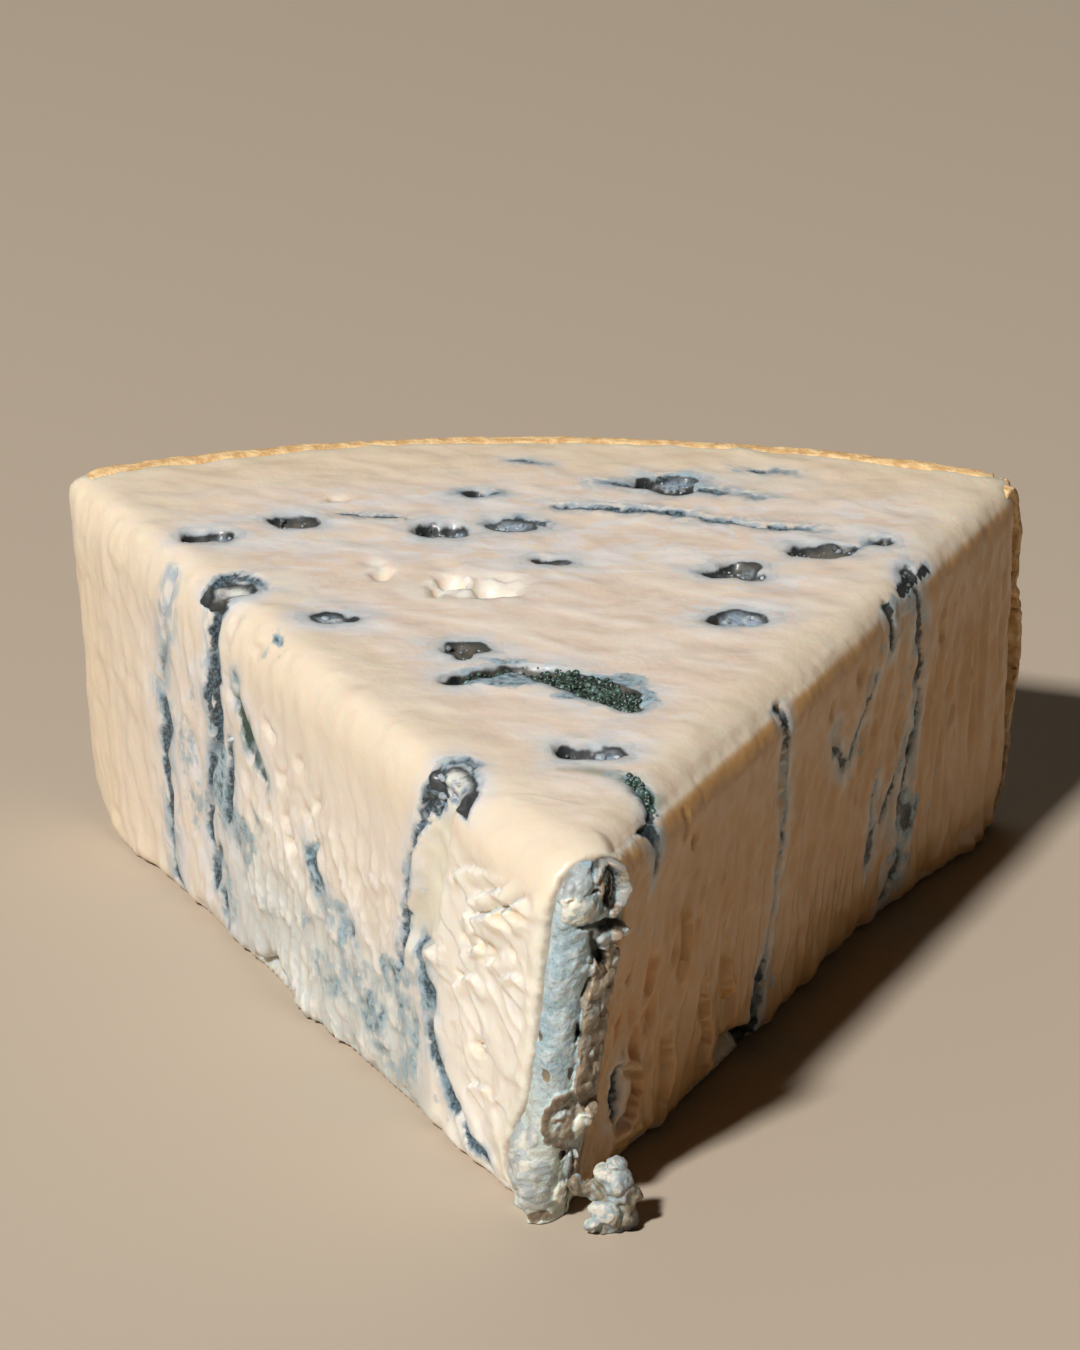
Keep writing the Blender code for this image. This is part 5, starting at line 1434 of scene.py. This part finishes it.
# Both upper corners of the rind are worn down and in.
for side in (LEFT, RIGHT):
    _, rind_height, from_cut = face_frame(side, rind_points)
    corner = (1 - ease(from_cut, 0, 6)) * ease(rind_height, 34, 43)
    rind_points[:, 2] -= 1.2 * corner
    rind_points[:, :2] *= 1 - 0.009 * corner[:, None]
rind_points = settled(rind_points)
rind_points[:, 2] = np.maximum(rind_points[:, 2], 0.0)
move_points(rind.data, rind_points)
apply_modifier(rind, "SOLIDIFY", thickness=1.1 * MM, offset=-1)
rind_points, _ = points_of(rind.data)
rind_points[:, 2] = np.maximum(rind_points[:, 2], 0.0)
move_points(rind.data, rind_points)
print("rind faces:", len(rind.data.polygons))

crust = Nodes("natural_rind")
crust_fine = crust.noise(0.5, 4)
crust_patch = crust.noise(5, 4)
crust_grain = crust.noise(1.6, 4)
crust_base = crust.mix(crust.span(crust_patch, 0.38, 0.62), srgb(178, 144, 106), srgb(204, 178, 138))
crust_base = crust.mix(crust.span(crust_grain, 0.50, 0.70, 0.0, 0.7), crust_base, srgb(206, 190, 160))
crust_base = crust.mix(crust.span(crust_grain, 0.46, 0.30, 0.0, 0.7), crust_base, srgb(124, 92, 66))
# The rind's creases are painted dark brown.
crust_base = crust.mix(crust.math("MULTIPLY", crust.field("crease"), 0.6), crust_base, srgb(108, 80, 58))
golden = crust.mix(crust.span(crust_grain, 0.40, 0.60), srgb(222, 178, 120), srgb(248, 212, 156))
crust_base = crust.mix(crust.math("MULTIPLY", crust.field("upper"), 0.92), crust_base, golden)
crust_relief = crust.bump(crust_grain, 0.5, 0.7)
crust_relief = crust.bump(crust_fine, 0.25, 0.7, crust_relief)
rind.data.materials.append(
    crust.finish(
        Base_Color=crust_base, Roughness=crust.span(crust_fine, 0.3, 0.7, 0.55, 0.8), Normal=crust_relief,
        Subsurface_Weight=0.1, Subsurface_Scale=0.001,
    )
)

# %% [markdown]
# Mould heaps up in grains on the floor of each hole, curd breaks into crumbs on the torn nose, and the
# rind sheds dry bits along its upper edge. Hundreds of small lumps would be slow as objects, so one
# lump is modelled, and its copies are laid straight into one joined mesh for each kind.

# %% Scatter lumps
body_now = BVHTree.FromObject(body, bpy.context.evaluated_depsgraph_get())
select_nothing()
bpy.ops.mesh.primitive_ico_sphere_add(subdivisions=2, radius=MM)
lump = bpy.context.object
apply_modifier(lump, "DECIMATE", ratio=0.5)
lump_points, _ = points_of(lump.data)
lump_faces = np.array([list(face.vertices) for face in lump.data.polygons])
bpy.data.objects.remove(lump)


def scattered(name, places, sizes, tones, seed, flatness=0.7):
    """One mesh of lumps: each has its place and size in millimetres, and a tone its material reads."""
    chance = np.random.default_rng(seed)
    all_points, all_faces, all_tones = [], [], []
    for index, (place, size, tone) in enumerate(zip(places, sizes, tones)):
        shape = lump_points * (1 + 0.30 * rough(lump_points + index * 7.7, 0.9, seed))[:, None]
        shape = shape * chance.uniform(0.7, 1.3, 3) * (1, 1, flatness)
        angles = chance.uniform(0, 6.28, 3) * (1, 0.12, 0.12)
        turn = np.array(Matrix.Rotation(angles[0], 3, "Z") @ Matrix.Rotation(angles[1], 3, "X"))
        all_faces.append(lump_faces + index * len(lump_points))
        all_points.append(shape @ turn.T * size + np.array(place))
        all_tones.append(np.full(len(lump_points), tone))
    mesh = bpy.data.meshes.new(name)
    mesh.from_pydata([tuple(p) for p in np.concatenate(all_points) * MM], [], np.concatenate(all_faces).tolist())
    set_field(mesh, "tone", np.concatenate(all_tones))
    piece = bpy.data.objects.new(name, mesh)
    bpy.context.collection.objects.link(piece)
    print(name, "lumps:", len(places), "triangles:", len(mesh.polygons))
    return piece


def drop_onto(x, y, start=60.0):
    """The point of the cheese that something falling at this place lands on."""
    place, _, _, _ = body_now.ray_cast(Vector((x, y, start)) * MM, Vector((0, 0, -1)))
    return None if place is None else place / MM


# %% Mould in the holes
chance = np.random.default_rng(5)
places, sizes, tones = [], [], []
for x, y, width, length, depth, pale_floor in TOP_HOLES:
    for _ in range(0 if pale_floor > 0.9 else int(width * length * 0.7)):
        angle, reach = chance.uniform(0, 6.28), math.sqrt(chance.uniform(0, 0.72))
        spot = drop_onto(x + math.cos(angle) * reach * width / 2, y + math.sin(angle) * reach * length / 2)
        if spot is None or spot.z > top_height(y) - 0.5:
            continue
        size = chance.uniform(0.10, 0.24) if chance.uniform() < 0.8 else chance.uniform(0.3, 0.5)
        places.append(spot + Vector((0, 0, size * 0.15)))
        sizes.append(size)
        tones.append(np.clip(pale_floor + chance.uniform(-0.35, 0.30), 0, 1))


def land_on(face, out, height):
    """The point of a cut that is met when looking straight at this place of it."""
    outward = face[2]
    place, _, _, _ = body_now.ray_cast((on_face(face, out, height) + outward * 12) * MM, -outward)
    return None if place is None else place / MM


# Bits left in the broken channels: distance from the nose, height, size and tone; above 1 is cream.
CHANNEL_BITS = (
    (73.4, 31.2, 0.7, 0.8), (74.0, 29.0, 0.6, 0.9), (72.8, 35.2, 0.6, 0.3), (73.4, 37.4, 0.5, 0.2), (69.8, 26.4, 0.8, 1.0),
    (21.0, 39.6, 0.7, 0.9), (20.4, 38.0, 0.6, 0.6), (19.0, 41.0, 0.6, 0.3), (17.4, 42.4, 0.7, 1.0), (16.0, 42.4, 0.6, 0.2),
    (13.2, 42.4, 0.6, 0.9), (14.0, 40.8, 0.5, 0.9),
)
for out, z, size, shade in CHANNEL_BITS:
    spot = land_on(LEFT, out, z)
    if spot is not None:
        places.append(spot)
        sizes.append(size * 0.8)
        tones.append(shade)
hole_mould = scattered("hole_mould", places, sizes, tones, 6)

# %% Green grains in the crack
places, sizes, tones = [], [], []
CRACK_END = ((0.6, 42.6, 2.0), (3.0, 40.6, 2.6), (4.6, 38.4, 2.6), (4.8, 36.0, 1.6))
BY_THE_EDGE = ((2.6, 16.6, 1.6), (3.8, 15.0, 2.2), (4.8, 13.0, 2.0))
for route, spacing, most in ((TOP_CRACK, 0.18, 8), (CRACK_END, 0.25, 5), (TOP_SLIT, 0.3, 3), (BY_THE_EDGE, 0.3, 3)):
    for x, y, width in along_route(route, spacing):
        for _ in range(most):
            across = chance.uniform(-0.56, 0.56) * width
            spot = drop_onto(x + chance.uniform(-0.4, 0.4), y + across)
            if spot is None or route[0][1] > 20 and spot.z > top_height(y) - 0.05:
                continue
            size = chance.uniform(0.12, 0.42)
            heap = max(0.0, top_height(y) - 0.7 - spot.z) * chance.uniform(0.0, 1.0) if most > 3 else 0.0
            places.append(spot + Vector((0, 0, heap)))
            sizes.append(size)
            at_edge = abs(across) > 0.40 * width and chance.uniform() < 0.35
            tones.append(chance.uniform(0.5, 0.8) if at_edge else 0.7 * chance.uniform(0, 1) ** 2.2)
crack_mould = scattered("crack_mould", places, sizes, tones, 7, 0.9)

grain = Nodes("grain_mould")
grain_fine = grain.noise(0.3, 3)
grain_base = grain.mix(grain.span(grain.field("tone"), 0.1, 0.9), srgb(66, 70, 68), srgb(176, 190, 200))
grain_base = grain.mix(grain.span(grain.field("tone"), 0.95, 1.15), grain_base, srgb(230, 222, 206))
dirty = grain.math("MULTIPLY", grain.span(grain_fine, 0.45, 0.65, 0.0, 0.5), grain.span(grain.field("tone"), 1.05, 0.9, 0.2, 1.0))
grain_base = grain.mix(dirty, grain_base, srgb(108, 112, 108))
hole_mould.data.materials.append(
    grain.finish(Base_Color=grain_base, Roughness=0.55, Normal=grain.bump(grain_fine, 0.15, 0.6))
)
green = Nodes("green_mould")
green_fine = green.noise(0.3, 3)
green_base = green.mix(green.span(green.field("tone"), 0.1, 0.6), srgb(34, 48, 38), srgb(70, 96, 84))
green_base = green.mix(green.span(green.field("tone"), 0.6, 0.95), green_base, srgb(166, 186, 192))
green_base = green.mix(green.span(green_fine, 0.56, 0.68, 0.0, 0.7), green_base, srgb(150, 172, 176))
crack_mould.data.materials.append(
    green.finish(Base_Color=green_base, Roughness=0.35, Normal=green.bump(green_fine, 0.15, 0.6))
)

# %% Crumbs along the rind
places, sizes, tones = [], [], []
for _ in range(420):
    angle = math.radians(chance.uniform(-24.5, 26.5))
    out = WHEEL_RADIUS - abs(chance.normal(0.4, 0.7))
    x, y = math.sin(angle) * out, math.cos(angle) * out
    spot = drop_onto(x, y)
    if spot is None or spot.z < 38:
        continue
    sizes.append(chance.uniform(0.15, 0.5) ** 1.2)
    places.append(spot)
    tones.append(chance.uniform(0, 1))
rind_crumbs = scattered("rind_crumbs", places, sizes, tones, 8)
dry = Nodes("dry_rind_crumbs")
dry_base = dry.mix(dry.field("tone"), srgb(176, 132, 88), srgb(222, 194, 150))
rind_crumbs.data.materials.append(
    dry.finish(Base_Color=dry_base, Roughness=0.6, Normal=dry.bump(dry.noise(0.3, 3), 0.1, 0.6))
)

# %% [markdown]
# Every piece was made about the wheel's centre line. Last, all are moved to where the frame has them.

# %% Put the pieces in their place
for piece, slot in (
    (body, "paste"), (strip, "mould"), (crumb, "mould"), (hole_mould, "mould"), (crack_mould, "mould"),
    (rind, "rind"), (rind_crumbs, "rind"),
):
    piece.data.transform(Matrix.Translation(CENTRE))
    piece.data.shade_smooth()
    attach(piece, "root")
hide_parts("cheese_wedge")
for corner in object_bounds():
    print("visual box, mm:", [round(value / MM, 1) for value in corner])
